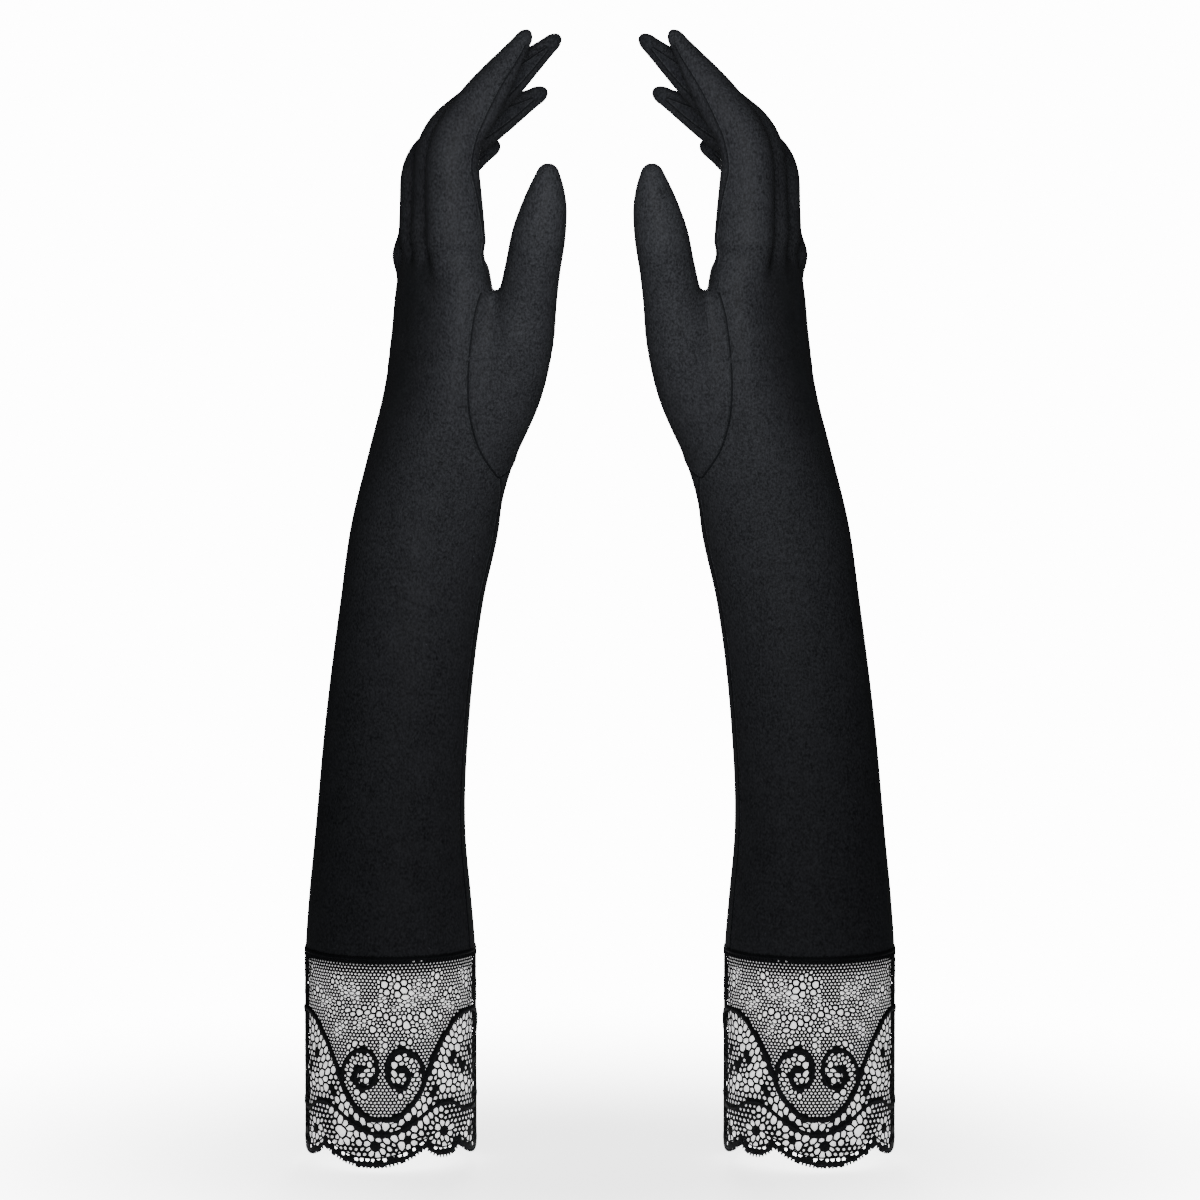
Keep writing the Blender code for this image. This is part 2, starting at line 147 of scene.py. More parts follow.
def soft_min(a, b, k):
    h = np.maximum(k - np.abs(a - b), 0) / k
    return np.minimum(a, b) - h * h * k / 4


def soft_max(a, b, k):
    return -soft_min(-a, -b, k)


def oval_distance(p, n, half_p, half_n, power):
    """Roughly the distance to a squared oval, negative inside."""
    u, v = np.abs(p) / half_p, np.abs(n) / half_n
    rho = np.maximum((u**power + v**power) ** (1 / power), 1e-4)
    steep = rho ** (1 - power) * np.hypot(u ** (power - 1) / half_p, v ** (power - 1) / half_n)
    return (rho - 1) / np.maximum(steep, 0.02)


class FingerLine:
    """The bent middle line of a finger, as samples, with its half sizes."""

    def __init__(self, name):
        self.name = name
        n, root, inside, knuckle, tip, depths, breadths = FINGERS[name]
        self.n, self.root = n, root
        rise_k, reach_k = knuckle
        rise_t, reach_t = tip
        corner = np.array((reach_k, root + rise_k))
        start = np.array((inside, root - ROOT_DEPTH))
        end = np.array((reach_t, root + rise_t))
        below, beyond = np.linalg.norm(corner - start), np.linalg.norm(end - corner)
        soft = 10.0
        a = corner + (start - corner) * soft / below
        b = corner + (end - corner) * soft / beyond
        t = np.linspace(0, 1, 13)[:, None]
        bend = (1 - t) ** 2 * a + 2 * t * (1 - t) * corner + t**2 * b
        t = np.linspace(0, 1, 22)[:-1, None]
        tail = np.linspace(0, 1, 16)[1:, None]
        self.line = np.concatenate((start + (a - start) * t, bend, b + (end - b) * tail))
        steps = np.linalg.norm(np.diff(self.line, axis=0), axis=1)
        self.along = np.concatenate(((0,), np.cumsum(steps))) - ROOT_DEPTH
        self.length = self.along[-1]
        knuckle_at = hypot(rise_k, reach_k) - 1.5
        middle = (knuckle_at + self.length) / 2
        marks = (-ROOT_DEPTH, 0.0, knuckle_at, middle, self.length)
        self.half_p = smooth_table([(m, v) for m, v in zip(marks, (depths[0], *depths))])[0]
        self.half_n = smooth_table([(m, v) for m, v in zip(marks, (breadths[0], *breadths))])[0]

    def measure(self, points):
        """Along, across towards the palm side, and sideways, for points in x, y, z."""
        x = points[:, 0] + HALF_SPACING - ROOT_LEAN
        p = x * cos(TURN) + points[:, 1] * sin(TURN)
        n = points[:, 1] * cos(TURN) - x * sin(TURN) - self.n
        z = points[:, 2]
        best = np.full(len(points), 1e9)
        along, across = np.zeros(len(points)), np.zeros(len(points))
        for k in range(len(self.line) - 1):
            (p0, z0), (p1, z1) = self.line[k], self.line[k + 1]
            step = self.along[k + 1] - self.along[k]
            tp, tz = (p1 - p0) / step, (z1 - z0) / step
            t = (p - p0) * tp + (z - z0) * tz
            last = k == len(self.line) - 2
            held = np.clip(t, None if k == 0 else 0, None if last else step)
            q = (p - p0) * tz - (z - z0) * tp
            d = np.hypot(q, t - held)
            better = d < best
            best[better], along[better] = d[better], (self.along[k] + held)[better]
            across[better] = q[better]
        return along, across, n

    def distance(self, points):
        along, across, n = self.measure(points)
        held = np.clip(along, -ROOT_DEPTH, self.length)
        half_p, half_n = self.half_p(held), self.half_n(held)
        over = np.maximum(along - self.length, 0) / TIP_ROUND
        side = oval_distance(across, n, half_p, half_n, 2.15)
        u, v = np.abs(across) / half_p, np.abs(n) / half_n
        rho = np.sqrt(u * u + v * v + over * over)
        steep = np.sqrt((u / half_p) ** 2 + (v / half_n) ** 2 + (over / TIP_ROUND) ** 2)
        end = (rho - 1) * np.maximum(rho, 0.1) / np.maximum(steep, 0.02)
        sunk = np.maximum(SINK_BELOW - along, 0) * 0.3
        return np.where(along > self.length, end, side + sunk)

    def point(self, along, angle, stand=0.0):
        """x, y, z on the finger's section at a place and a direction from the palm side."""
        a = radians(angle)
        k = np.clip(np.searchsorted(self.along, along) - 1, 0, len(self.line) - 2)
        (p0, z0), (p1, z1) = self.line[k], self.line[k + 1]
        step = self.along[k + 1] - self.along[k]
        t = (along - self.along[k]) / step
        tp, tz = (p1 - p0) / step, (z1 - z0) / step
        half_p = float(self.half_p(along)) + stand
        half_n = float(self.half_n(along)) + stand
        q, b = half_p * cos(a), half_n * sin(a)
        p, z = p0 + (p1 - p0) * t + q * tz, z0 + (z1 - z0) * t - q * tp
        return placed(p, self.n + b, z, ROOT_LEAN)

    def place_of(self, points):
        """Along and direction, in degrees from the palm side, of points near the finger."""
        along, across, n = self.measure(points)
        held = np.minimum(along, self.length)
        angle = np.degrees(np.arctan2(n / self.half_n(held), across / self.half_p(held)))
        return along, angle


LINES = {name: FingerLine(name) for name in FINGERS}
THUMB_POINTS = [placed(p, n, z) for z, p, n, r in THUMB_LINE]
THUMB_RADII = [row[3] for row in THUMB_LINE]


def thumb_curve():
    """The thumb's middle line as close samples, with radii."""
    table = [(i, *pt, r) for i, (pt, r) in enumerate(zip(THUMB_POINTS, THUMB_RADII))]
    functions = smooth_table(table, 0.125)
    at = np.linspace(0, len(table) - 1, 41)
    return np.stack([f(at) for f in functions[:3]], -1), functions[3](at)


THUMB_CENTRES, THUMB_SIZES = thumb_curve()
KNUCKLE = placed(-5.6, 25.0, 343.6)       # the little finger's knuckle lifts the back
KNUCKLE_RADIUS = 7.6


def thumb_distance(points):
    """Distance to the thumb."""
    best = np.full(len(points), 1e9)
    for k in range(len(THUMB_CENTRES) - 1):
        a, b = THUMB_CENTRES[k], THUMB_CENTRES[k + 1]
        t = np.clip((points - a) @ (b - a) / ((b - a) @ (b - a)), 0, 1)
        away = points - a - t[:, None] * (b - a)
        radius = THUMB_SIZES[k] + (THUMB_SIZES[k + 1] - THUMB_SIZES[k]) * t
        d = np.sqrt((away**2).sum(1)) - radius
        best = np.minimum(best, d)
    return best


WEB_SOFTNESS = 6.0       # how softly the hand's sides turn into the webs
JOIN_SOFTNESS = 5.0      # how softly a finger or the knuckle melts into the hand
TOUCH_SOFTNESS = 0.8     # how softly fingers that touch meet
THUMB_REACH = 22.0       # room round the thumb's line that its distance is worked out in


def hand_top(n):
    """Height of the webs between the fingers."""
    return 345.6 - 0.0047 * (n + 8.0) ** 2


def arm_distance(points):
    p, n, z = local(points)
    side = oval_distance(p, n, ARM[1](z), ARM[2](z), ARM[3](z))
    return soft_max(side, z - hand_top(n), WEB_SOFTNESS)


def near(points, low, high):
    return np.all((points > low) & (points < high), axis=1)


def glove_distance(points):
    """Distance to the whole glove."""
    arm = arm_distance(points)
    total = arm.copy()
    for line in LINES.values():
        low = placed(-16, line.n, line.root - 40, ROOT_LEAN) - (6, 12, 0)
        high = placed(float(line.line[-1][0]) + 12, line.n, line.root + 96, ROOT_LEAN) + (8, 14, 0)
        held = near(points, np.minimum(low, high), np.maximum(low, high))
        finger = soft_min(arm[held], line.distance(points[held]), JOIN_SOFTNESS)
        total[held] = soft_min(total[held], finger, TOUCH_SOFTNESS)
    knuckle = np.sqrt(((points - KNUCKLE) ** 2).sum(1)) - KNUCKLE_RADIUS
    total = soft_min(total, knuckle, JOIN_SOFTNESS)
    held = near(points, THUMB_CENTRES.min(0) - THUMB_REACH, THUMB_CENTRES.max(0) + THUMB_REACH)
    softness = 3.0 + 5.0 * np.clip((336.0 - points[held][:, 2]) / 6.0, 0, 1)
    total[held] = soft_min(total[held], thumb_distance(points[held]), softness)
    return total


def gradient(field, points, step=0.12):
    found = np.zeros_like(points)
    for axis in range(3):
        shift = np.zeros(3)
        shift[axis] = step
        found[:, axis] = (field(points + shift) - field(points - shift)) / (2 * step)
    return found


def settle(field, points, rounds=3):
    """Moves points onto the field's surface."""
    for _ in range(rounds):
        slope = gradient(field, points)
        size = np.maximum((slope**2).sum(1), 0.05)
        move = field(points)[:, None] * slope / size[:, None]
        length = np.sqrt((move**2).sum(1))
        move *= np.minimum(1, 1.2 / np.maximum(length, 1e-9))[:, None]
        points = points - move
    return points


def normals_of(field, points):
    slope = gradient(field, points, 0.35)
    return slope / np.maximum(np.sqrt((slope**2).sum(1)), 1e-9)[:, None]


def surface_net(field, low, high, cell):
    """Quads round the zero of a field in a box, one point in each cell that it crosses."""
    axes = [np.arange(low[k], high[k] + cell, cell) for k in range(3)]
    shape = [len(a) for a in axes]
    grid = np.stack(np.meshgrid(*axes, indexing="ij"), -1).reshape(-1, 3)
    values = np.concatenate([field(grid[i:i + 400000]) for i in range(0, len(grid), 400000)])
    values = values.reshape(shape)
    inside = values < 0
    total = np.zeros([s - 1 for s in shape] + [3])
    count = np.zeros([s - 1 for s in shape])
    crossings = []
    for axis in range(3):
        first = [slice(None)] * 3
        second = [slice(None)] * 3
        first[axis], second[axis] = slice(0, -1), slice(1, None)
        a, b = values[tuple(first)], values[tuple(second)]
        crossed = inside[tuple(first)] != inside[tuple(second)]
        i, j, k = np.nonzero(crossed)
        t = a[i, j, k] / (a[i, j, k] - b[i, j, k])
        at = np.stack((i, j, k), -1).astype(float)
        at[:, axis] += t
        others = [x for x in range(3) if x != axis]
        for da in (0, 1):
            for db in (0, 1):
                cell_at = np.stack((i, j, k), -1)
                cell_at[:, others[0]] -= da
                cell_at[:, others[1]] -= db
                good = np.all((cell_at >= 0) & (cell_at < np.array(count.shape)), axis=1)
                c = tuple(cell_at[good].T)
                np.add.at(total, c, at[good])
                np.add.at(count, c, 1)
        crossings.append((axis, i, j, k, inside[tuple(first)][i, j, k]))
    used = count > 0
    index = np.full(count.shape, -1)
    index[used] = np.arange(used.sum())
    points = np.array(low) + total[used] / count[used][:, None] * cell
    faces = []
    for axis, i, j, k, starts_inside in crossings:
        u, v = [(1, 2), (2, 0), (0, 1)][axis]
        base = np.stack((i, j, k), -1)
        good = (base[:, u] > 0) & (base[:, v] > 0)
        good &= (base[:, u] < count.shape[u]) & (base[:, v] < count.shape[v])
        base, forward = base[good], starts_inside[good]
        corners = []
        for du, dv in ((1, 1), (0, 1), (0, 0), (1, 0)):
            c = base.copy()
            c[:, u] -= du
            c[:, v] -= dv
            corners.append(index[tuple(c.T)])
        quads = np.stack(corners, -1)
        quads[~forward] = quads[~forward][:, ::-1]
        faces.append(quads)
    return points, np.concatenate(faces)


# ---------------------------------------------------------------- materials

def new_material(name):
    material = bpy.data.materials.new(name)
    material.use_nodes = True
    tree = material.node_tree
    shader = tree.nodes["Principled BSDF"]
    return material, tree, shader


def noise_node(tree, size_mm, detail=2.0, stretch=(1, 1, 1)):
    """A noise of a given feature size, in the piece's own space."""
    coords = tree.nodes.new("ShaderNodeTexCoord")
    mapping = tree.nodes.new("ShaderNodeMapping")
    mapping.inputs["Scale"].default_value = stretch
    texture = tree.nodes.new("ShaderNodeTexNoise")
    texture.inputs["Scale"].default_value = 1000 / size_mm
    texture.inputs["Detail"].default_value = detail
    tree.links.new(coords.outputs["Object"], mapping.inputs["Vector"])
    tree.links.new(mapping.outputs["Vector"], texture.inputs["Vector"])
    return texture


def spread(tree, value, low, high):
    node = tree.nodes.new("ShaderNodeMapRange")
    node.inputs["From Min"].default_value = 0.3
    node.inputs["From Max"].default_value = 0.7
    node.inputs["To Min"].default_value = low
    node.inputs["To Max"].default_value = high
    tree.links.new(value, node.inputs["Value"])
    return node.outputs["Result"]


def mix_colour(tree, share, first, second):
    node = tree.nodes.new("ShaderNodeMix")
    node.data_type = "RGBA"
    tree.links.new(share, node.inputs["Factor"])
    for socket, colour in (("A_Color", first), ("B_Color", second)):
        target = next(i for i in node.inputs if i.identifier == socket)
        if isinstance(colour, tuple):
            target.default_value = (*colour, 1)
        else:
            tree.links.new(colour, target)
    return next(o for o in node.outputs if o.identifier == "Result_Color")


def bumped(tree, shader, height, distance_mm, strength=1.0, under=None):
    node = tree.nodes.new("ShaderNodeBump")
    node.inputs["Strength"].default_value = strength
    node.inputs["Distance"].default_value = distance_mm * MM
    tree.links.new(height, node.inputs["Height"])
    if under is not None:
        tree.links.new(under, node.inputs["Normal"])
    tree.links.new(node.outputs["Normal"], shader.inputs["Normal"])
    return node.outputs["Normal"]


CLOTH_GLOSS = 0.015


def cloth_material(name, dark, pale, roughness, grain_mm=0.7, grain_depth=0.06):
    """Close-knit cloth: mottled colour, a fine grain and slow soft undulations."""
    material, tree, shader = new_material(name)
    mottle = noise_node(tree, 9.0, 3.0)
    grain = noise_node(tree, grain_mm, 2.0, (1, 1, 0.7))
    slow = mix_colour(tree, spread(tree, mottle.outputs["Fac"], 0.0, 1.0), dark, pale)
    lift = tuple(c * 3.4 for c in pale)
    specks = spread(tree, grain.outputs["Fac"], 0.0, 0.6)
    tree.links.new(mix_colour(tree, specks, slow, lift), shader.inputs["Base Color"])
    tree.links.new(spread(tree, grain.outputs["Fac"], roughness - 0.06, roughness + 0.1),
                   shader.inputs["Roughness"])
    swell = bumped(tree, shader, noise_node(tree, 26.0, 1.0).outputs["Fac"], 1.6, 0.35)
    bumped(tree, shader, grain.outputs["Fac"], grain_depth, 0.9, swell)
    shader.inputs["Specular IOR Level"].default_value = CLOTH_GLOSS
    return material


MATERIALS = {
    "satin": cloth_material("black_satin", (0.0026, 0.0027, 0.0031),
                            (0.0044, 0.0046, 0.0052), 0.6),
    "fourchette": cloth_material("black_fourchette_satin", (0.0021, 0.0022, 0.0026),
                                 (0.0034, 0.0036, 0.0042), 0.64),
    # Painted shade: a darker copy of the satin, put in each seam's valley where shade falls; the
    # cuff fold band is made in it too
    "seam": cloth_material("black_seam_painted_shade", (0.0009, 0.001, 0.0012),
                           (0.0016, 0.0017, 0.002), 0.6, 0.4, 0.06),
    "lace": cloth_material("black_lace_net", (0.0012, 0.0012, 0.0014),
                           (0.0022, 0.0023, 0.0026), 0.65, 0.3, 0.05),
    "cord": cloth_material("black_lace_cord", (0.0012, 0.0012, 0.0014),
                           (0.0026, 0.0027, 0.0031), 0.65, 0.34, 0.09),
    "thread": cloth_material("black_thread", (0.0012, 0.0013, 0.0015),
                             (0.003, 0.0031, 0.0036), 0.55, 0.25, 0.05),
}


# Painted light: how brightly the lining glows, though it is no lamp
LINING_GLOW = 0.8


def lining_material():
    """Pale, fine tulle behind the lace, with painted light: it glows in its own colour, though it
    is no lamp, so it stays bright in the lace's shade.
    """
    material, tree, shader = new_material("pale_lining_painted_glow")
    weave = noise_node(tree, 0.5, 2.0)
    tone = spread(tree, weave.outputs["Fac"], 0.0, 1.0)
    colour = mix_colour(tree, tone, (0.86, 0.86, 0.87), (0.93, 0.93, 0.93))
    tree.links.new(colour, shader.inputs["Base Color"])
    bumped(tree, shader, weave.outputs["Fac"], 0.04, 0.6)
    shader.inputs["Roughness"].default_value = 0.85
    # Painted light: the lining gives off light of its own colour
    tree.links.new(colour, shader.inputs["Emission Color"])
    shader.inputs["Emission Strength"].default_value = LINING_GLOW
    return material


MATERIALS["lining"] = lining_material()


# ---------------------------------------------------------------- meshes

def mirrored(points, side):
    return points if side == 1 else points * (-1, 1, 1)


def new_object(name, points, faces, materials, side=1, slots=None, normals=None):
    """A smooth mesh from points in millimetres. side is -1 for the right glove's mirror image."""
    mesh = bpy.data.meshes.new(name)
    rows = [list(map(int, f)) for f in faces]
    if side == -1:
        rows = [r[::-1] for r in rows]
    mesh.from_pydata((mirrored(np.asarray(points), side) * MM).tolist(), [], rows)
    mesh.polygons.foreach_set("use_smooth", [True] * len(rows))
    for material in materials:
        mesh.materials.append(MATERIALS[material])
    if slots is not None:
        mesh.polygons.foreach_set("material_index", np.asarray(slots, np.int32))
    mesh.update()
    if normals is not None:
        mesh.normals_split_custom_set_from_vertices(mirrored(np.asarray(normals), side).tolist())
    obj = bpy.data.objects.new(name, mesh)
    bpy.context.scene.collection.objects.link(obj)
    return obj


def thickened(points, normals, quads, depth):
    """The quads as a closed shell with its inner side at a depth below."""
    used, quads = np.unique(quads, return_inverse=True)
    quads = quads.reshape(-1, 4)
    points, normals = points[used], normals[used]
    edges = np.concatenate([quads[:, [i, (i + 1) % 4]] for i in range(4)])
    key = np.sort(edges, axis=1)
    _, first, count = np.unique(key, axis=0, return_index=True, return_counts=True)
    rim = edges[first[count == 1]]
    shift = len(points)
    walls = np.stack((rim[:, 1], rim[:, 0], rim[:, 0] + shift, rim[:, 1] + shift), -1)
    faces = np.concatenate((quads, quads[:, ::-1] + shift, walls))
    both = np.concatenate((points, points - normals * depth))
    return both, np.concatenate((normals, -normals)), faces


CELL = 1.5               # the satin's mesh
SATIN_DEPTH = 0.5        # thickness of the cloth
SLEEVE_TOP, HAND_LOW, THUMB_CUT = 237.0, 263.0, 337.0
THUMB_SEAM = smooth_table((          # height, then the seam's direction on the back and palm
    (262.5, -52.0, -50.0), (264.6, -55.5, -45.0), (268.2, -63.0, -38.0), (272.9, -70.8, -32.0),
    (279.4, -77.8, -27.5), (284.4, -82.0, -25.5), (290.8, -85.5, -24.5), (298.7, -87.9, -25.0),
    (307.3, -88.6, -28.0), (315.5, -86.9, -34.0), (322.5, -83.7, -43.0), (328.0, -78.5, -54.0),
    (332.4, -72.5, -66.0),
))
THUMB_SEAM_LOW, THUMB_SEAM_HIGH = 262.5, 332.4
THUMB_FROM = 325.0       # above this height a face may be the thumb's
ON_FINGER, ON_THUMB = 1.2, 2.5   # how near a face lies to the part that it belongs to
SATIN_LOW = 79.0


def direction(points):
    p, n, _ = local(points)
    return np.degrees(np.arctan2(n, p))


def regions(centres):
    """The name of the piece that each face belongs to."""
    z = centres[:, 2]
    names = np.full(len(centres), "hand", dtype=object)
    names[z < HAND_LOW] = "wrist"
    names[z < SLEEVE_TOP] = "sleeve"
    angle = direction(centres)
    in_base = (z > THUMB_SEAM_LOW) & (z < THUMB_SEAM_HIGH)
    in_base &= (angle > THUMB_SEAM[0](z)) & (angle < THUMB_SEAM[1](z))
    names[in_base] = "thumb_base"
    best = np.full(len(centres), ON_FINGER)
    for name, line in LINES.items():
        held = np.nonzero(z > line.root)[0]
        along = line.measure(centres[held])[0]
        away = np.abs(line.distance(centres[held]))
        good = (along > CUT_ABOVE_ROOT) & (away < best[held])
        best[held[good]] = away[good]
        names[held[good]] = name
    high = np.nonzero(z > THUMB_FROM)[0]
    on_thumb = np.abs(thumb_distance(centres[high])) < ON_THUMB
    names[high[on_thumb & (z[high] > THUMB_CUT)]] = "thumb"
    names[high[on_thumb & (z[high] <= THUMB_CUT) & (names[high] == "hand")
               & (angle[high] > -80)]] = "thumb_base"
    return names


def glove_skin():
    """Points, normals, quads and the piece of each quad, of the left glove."""
    low = np.array((-118.0, -70.0, SATIN_LOW - CELL))
    high = np.array((-2.0, 48.0, 437.0))
    points, quads = surface_net(glove_distance, low, high, CELL)
    points = settle(glove_distance, points, 2)
    centres = points[quads].mean(1)
    quads, centres = quads[centres[:, 2] > SATIN_LOW], centres[centres[:, 2] > SATIN_LOW]
    return points, normals_of(glove_distance, points), quads, regions(centres)


def fourchette_share(line, centres):
    """True where a finger's face belongs to the strips between the fingers."""
    _, angle = line.place_of(centres)
    side = np.abs(angle)
    facing = (side > 64) & (side < 116)
    if line.name == "index":
        facing &= angle > 0
    if line.name == "little":
        facing &= angle < 0
    return facing


def finger_blend(obj, line, side):
    foot = line.root + CUT_ABOVE_ROOT + 1.5
    rise = 13.0 if line.name == "little" else 16.0
    k = np.searchsorted(line.line[:, 1], (foot, foot + rise))
    ends = [mirrored(placed(line.line[i][0], line.n, z, ROOT_LEAN), side) * MM
            for i, z in zip(k, (foot, foot + rise))]
    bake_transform(obj)


def wrist_blend(obj, side):
    x = float(mirrored(placed(0, 0, 250.0), side)[0]) * MM
    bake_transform(obj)


def thumb_blend(obj):
    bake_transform(obj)


def attach(obj, piece, side):
    """Bakes the placement of a piece of the skin, or of what lies on it, into its mesh."""
    if piece in ("sleeve", "wrist", "hand", "thumb_base"):
        wrist_blend(obj, side)
    elif piece == "thumb":
        thumb_blend(obj)
    else:
        finger_blend(obj, LINES[piece], side)


STANDS_FOR = {
    "sleeve": ("sleeve_back_panel", "sleeve_palm_panel"),
    "wrist": ("wrist_section",),
    "hand": ("hand_back_panel", "hand_palm_panel"),
    "thumb_base": ("thumb_base_panel",),
    "thumb": ("thumb_stall",),
    "index": ("index_back_panel", "index_palm_panel", "index_fourchette_ulnar"),
    "middle": ("middle_back_panel", "middle_palm_panel",
               "middle_fourchette_radial", "middle_fourchette_ulnar"),
    "ring": ("ring_back_panel", "ring_palm_panel",
             "ring_fourchette_radial", "ring_fourchette_ulnar"),
    "little": ("little_back_panel", "little_palm_panel", "little_fourchette_radial"),
}


def satin_pieces():
    points, normals, quads, names = glove_skin()
    for piece in STANDS_FOR:
        part = quads[names == piece]
        shell, shell_normals, faces = thickened(points, normals, part, SATIN_DEPTH)
        slots = None
        if piece in LINES:
            strip = fourchette_share(LINES[piece], shell[faces].mean(1))
            slots = strip.astype(int)
        for tag, side in SIDES:
            kinds = ("satin", "fourchette") if piece in LINES else ("satin",)
            obj = new_object(f"{tag}_{piece}_satin", shell, faces, kinds, side, slots,
                             shell_normals)
            attach(obj, piece, side)
            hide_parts(*(f"{tag}_{node}" for node in STANDS_FOR[piece]))


satin_pieces()


# ---------------------------------------------------------------- seams

SEAM_SECTION = ((-1.15, -0.3), (-0.8, 0.12), (-0.4, 0.28), (-0.14, 0.03), (0.14, 0.03),
                (0.4, 0.28), (0.8, 0.12), (1.15, -0.3), (0.4, -0.6), (-0.4, -0.6))
SEAM_VALLEY = (2, 3, 4)


def even_points(points, step=1.1):
    """Points along a line in space, evenly apart."""
    points = np.asarray(points, float)
    at = np.concatenate(((0,), np.cumsum(np.linalg.norm(np.diff(points, axis=0), axis=1))))
    samples = np.linspace(0, at[-1], max(3, int(at[-1] / step) + 1))
    return np.stack([np.interp(samples, at, points[:, k]) for k in range(3)], -1)


def welt(line, scale=1.0):
    """A seam on the glove's surface: two soft lips with a line between, ends sunk."""
    line = even_points(settle(glove_distance, even_points(line), 4))
    line = settle(glove_distance, line, 3)
    out = normals_of(glove_distance, line)
    way = np.gradient(line, axis=0)
    across = np.cross(out, way)
    across /= np.maximum(np.linalg.norm(across, axis=1), 1e-9)[:, None]
    count, sides = len(line), len(SEAM_SECTION)
    sink = np.zeros(count)
    sink[[0, -1]] = 0.5
    points = [line + across * (a * scale) + out * (h * scale - sink)[:, None]
              for a, h in SEAM_SECTION]
    points = np.stack(points, 1).reshape(-1, 3)
    faces = []
    for i in range(count - 1):
        for k in range(sides):
            q, m = (k + 1) % sides, i + 1
            faces.append((i * sides + q, i * sides + k, m * sides + k, m * sides + q))
    faces.append(tuple(range(sides)))
    faces.append(tuple((count - 1) * sides + k for k in range(sides))[::-1])
    return points, faces


def on_arm(table):
    """Places near the arm's surface from heights and directions."""
    functions = smooth_table(table, 1.0)
    z = np.arange(table[0][0], table[-1][0] + 0.1, 1.5)
    a = np.radians(functions[0](z))
    return placed(ARM[1](z) * np.cos(a), ARM[2](z) * np.sin(a), z)


def on_finger(line, table):
    """Places on a finger from places along it and directions."""
    functions = smooth_table(table, 0.5)
    along = np.arange(table[0][0], table[-1][0] + 0.1, 1.2)
    return np.array([line.point(a, float(functions[0](a))) for a in along])


def thumb_seam():
    """From the fork down the back of the thumb's base and up its palm side."""
    z = np.linspace(332.0, 262.8, 60)
    back, palm = np.radians(THUMB_SEAM[0](z)), np.radians(THUMB_SEAM[1](z))[::-1]
    angle, height = np.concatenate((back, palm)), np.concatenate((z, z[::-1]))
    half_p, half_n = ARM[1](height), ARM[2](height)
    return placed(half_p * np.cos(angle), half_n * np.sin(angle), height)


def finger_seams(line):
    """The seams of one finger: those of its strips, or its own side seam."""
    end, low = line.length, CUT_ABOVE_ROOT + 1.0
    found = []
    if line.name == "index":
        found.append(((low, -36), (12, -42), (19, -48), (28, -58), (40, -58), (50, -66),
                      (58, -74), (68, -78), (end - 2, -72), (end + 1.5, -74)))
    if line.name == "little":
        found.append(((low, 90), (20, 84), (end - 2, 80), (end + 1.5, 80)))
    for side in (-1, 1):
        if (line.name, side) in (("index", -1), ("little", 1)):
            continue
        for edge, tip in ((64, 84), (116, 96)):
            found.append(((low, side * edge), (end * 0.6, side * edge),
                          (end - 6, side * (edge + tip) / 2), (end, side * tip)))
    return [on_finger(line, table) for table in found]


def hand_seams():
    """The seams on the hand's piece."""
    radial = [placed(*place) for place in ((8.6, -35.8, 341.0), (8.2, -35.4, 345.0),
                                           (7.4, -34.8, 350.6))]
    ulnar = on_arm(((HAND_LOW + 0.5, 90), (290, 90), (325, 90), (339.5, 88)))
    return [thumb_seam(), ulnar, np.array(radial)]


def seam_pieces():
    sleeve = [on_arm(((LACE_TOP - 1.0, a), (160, a), (SLEEVE_TOP - 0.3, a))) for a in (-36, 90)]
    wrist = [on_arm(((SLEEVE_TOP - 0.6, -36), (250, -39), (HAND_LOW + 0.5, -50))),
             on_arm(((SLEEVE_TOP - 0.6, 90), (250, 90), (HAND_LOW + 0.9, 90)))]
    seams = {"sleeve": sleeve, "wrist": wrist, "hand": hand_seams()}
    seams.update({name: finger_seams(line) for name, line in LINES.items()})
    for piece, lines in seams.items():
        points, faces = joined([welt(line, 0.8 if piece in LINES else 1.0) for line in lines])
        # Painted shade: the faces in each welt's valley take the darker seam cloth, so the groove
        # reads dark
        dark = [len(f) == 4 and f[0] % len(SEAM_SECTION) - 1 in SEAM_VALLEY for f in faces]
        for tag, side in SIDES:
            obj = new_object(f"{tag}_{piece}_seams", points, faces, ("satin", "seam"), side, dark)
            attach(obj, piece, side)


# ---------------------------------------------------------------- lace
# The lace is drawn flat, in u round the cuff from the middle of the heart and v up from the
# lowest point of the hem, and then wrapped round the cuff.

LACE_TOP = 80.0
REPEAT = 82.0
LACE_ROUND = 2.5 * REPEAT
LACE_RADIUS = LACE_ROUND / (2 * pi)
HEART_DIRECTION = -109.5
CUFF_HALF_P, CUFF_HALF_N = 32.6, 31.6
NET_PITCH, NET_ROW = 1.5, 1.22
COARSE_PITCH, COARSE_ROW = 2.25, 1.9
HATCH_PITCH, HATCH_ROW = 2.6, 0.86
THREAD, COARSE_THREAD, HATCH_THREAD, LARGE_THREAD = 0.41, 0.6, 0.33, 0.5
NET_RISE, DENSE_RISE = 0.17, 0.28

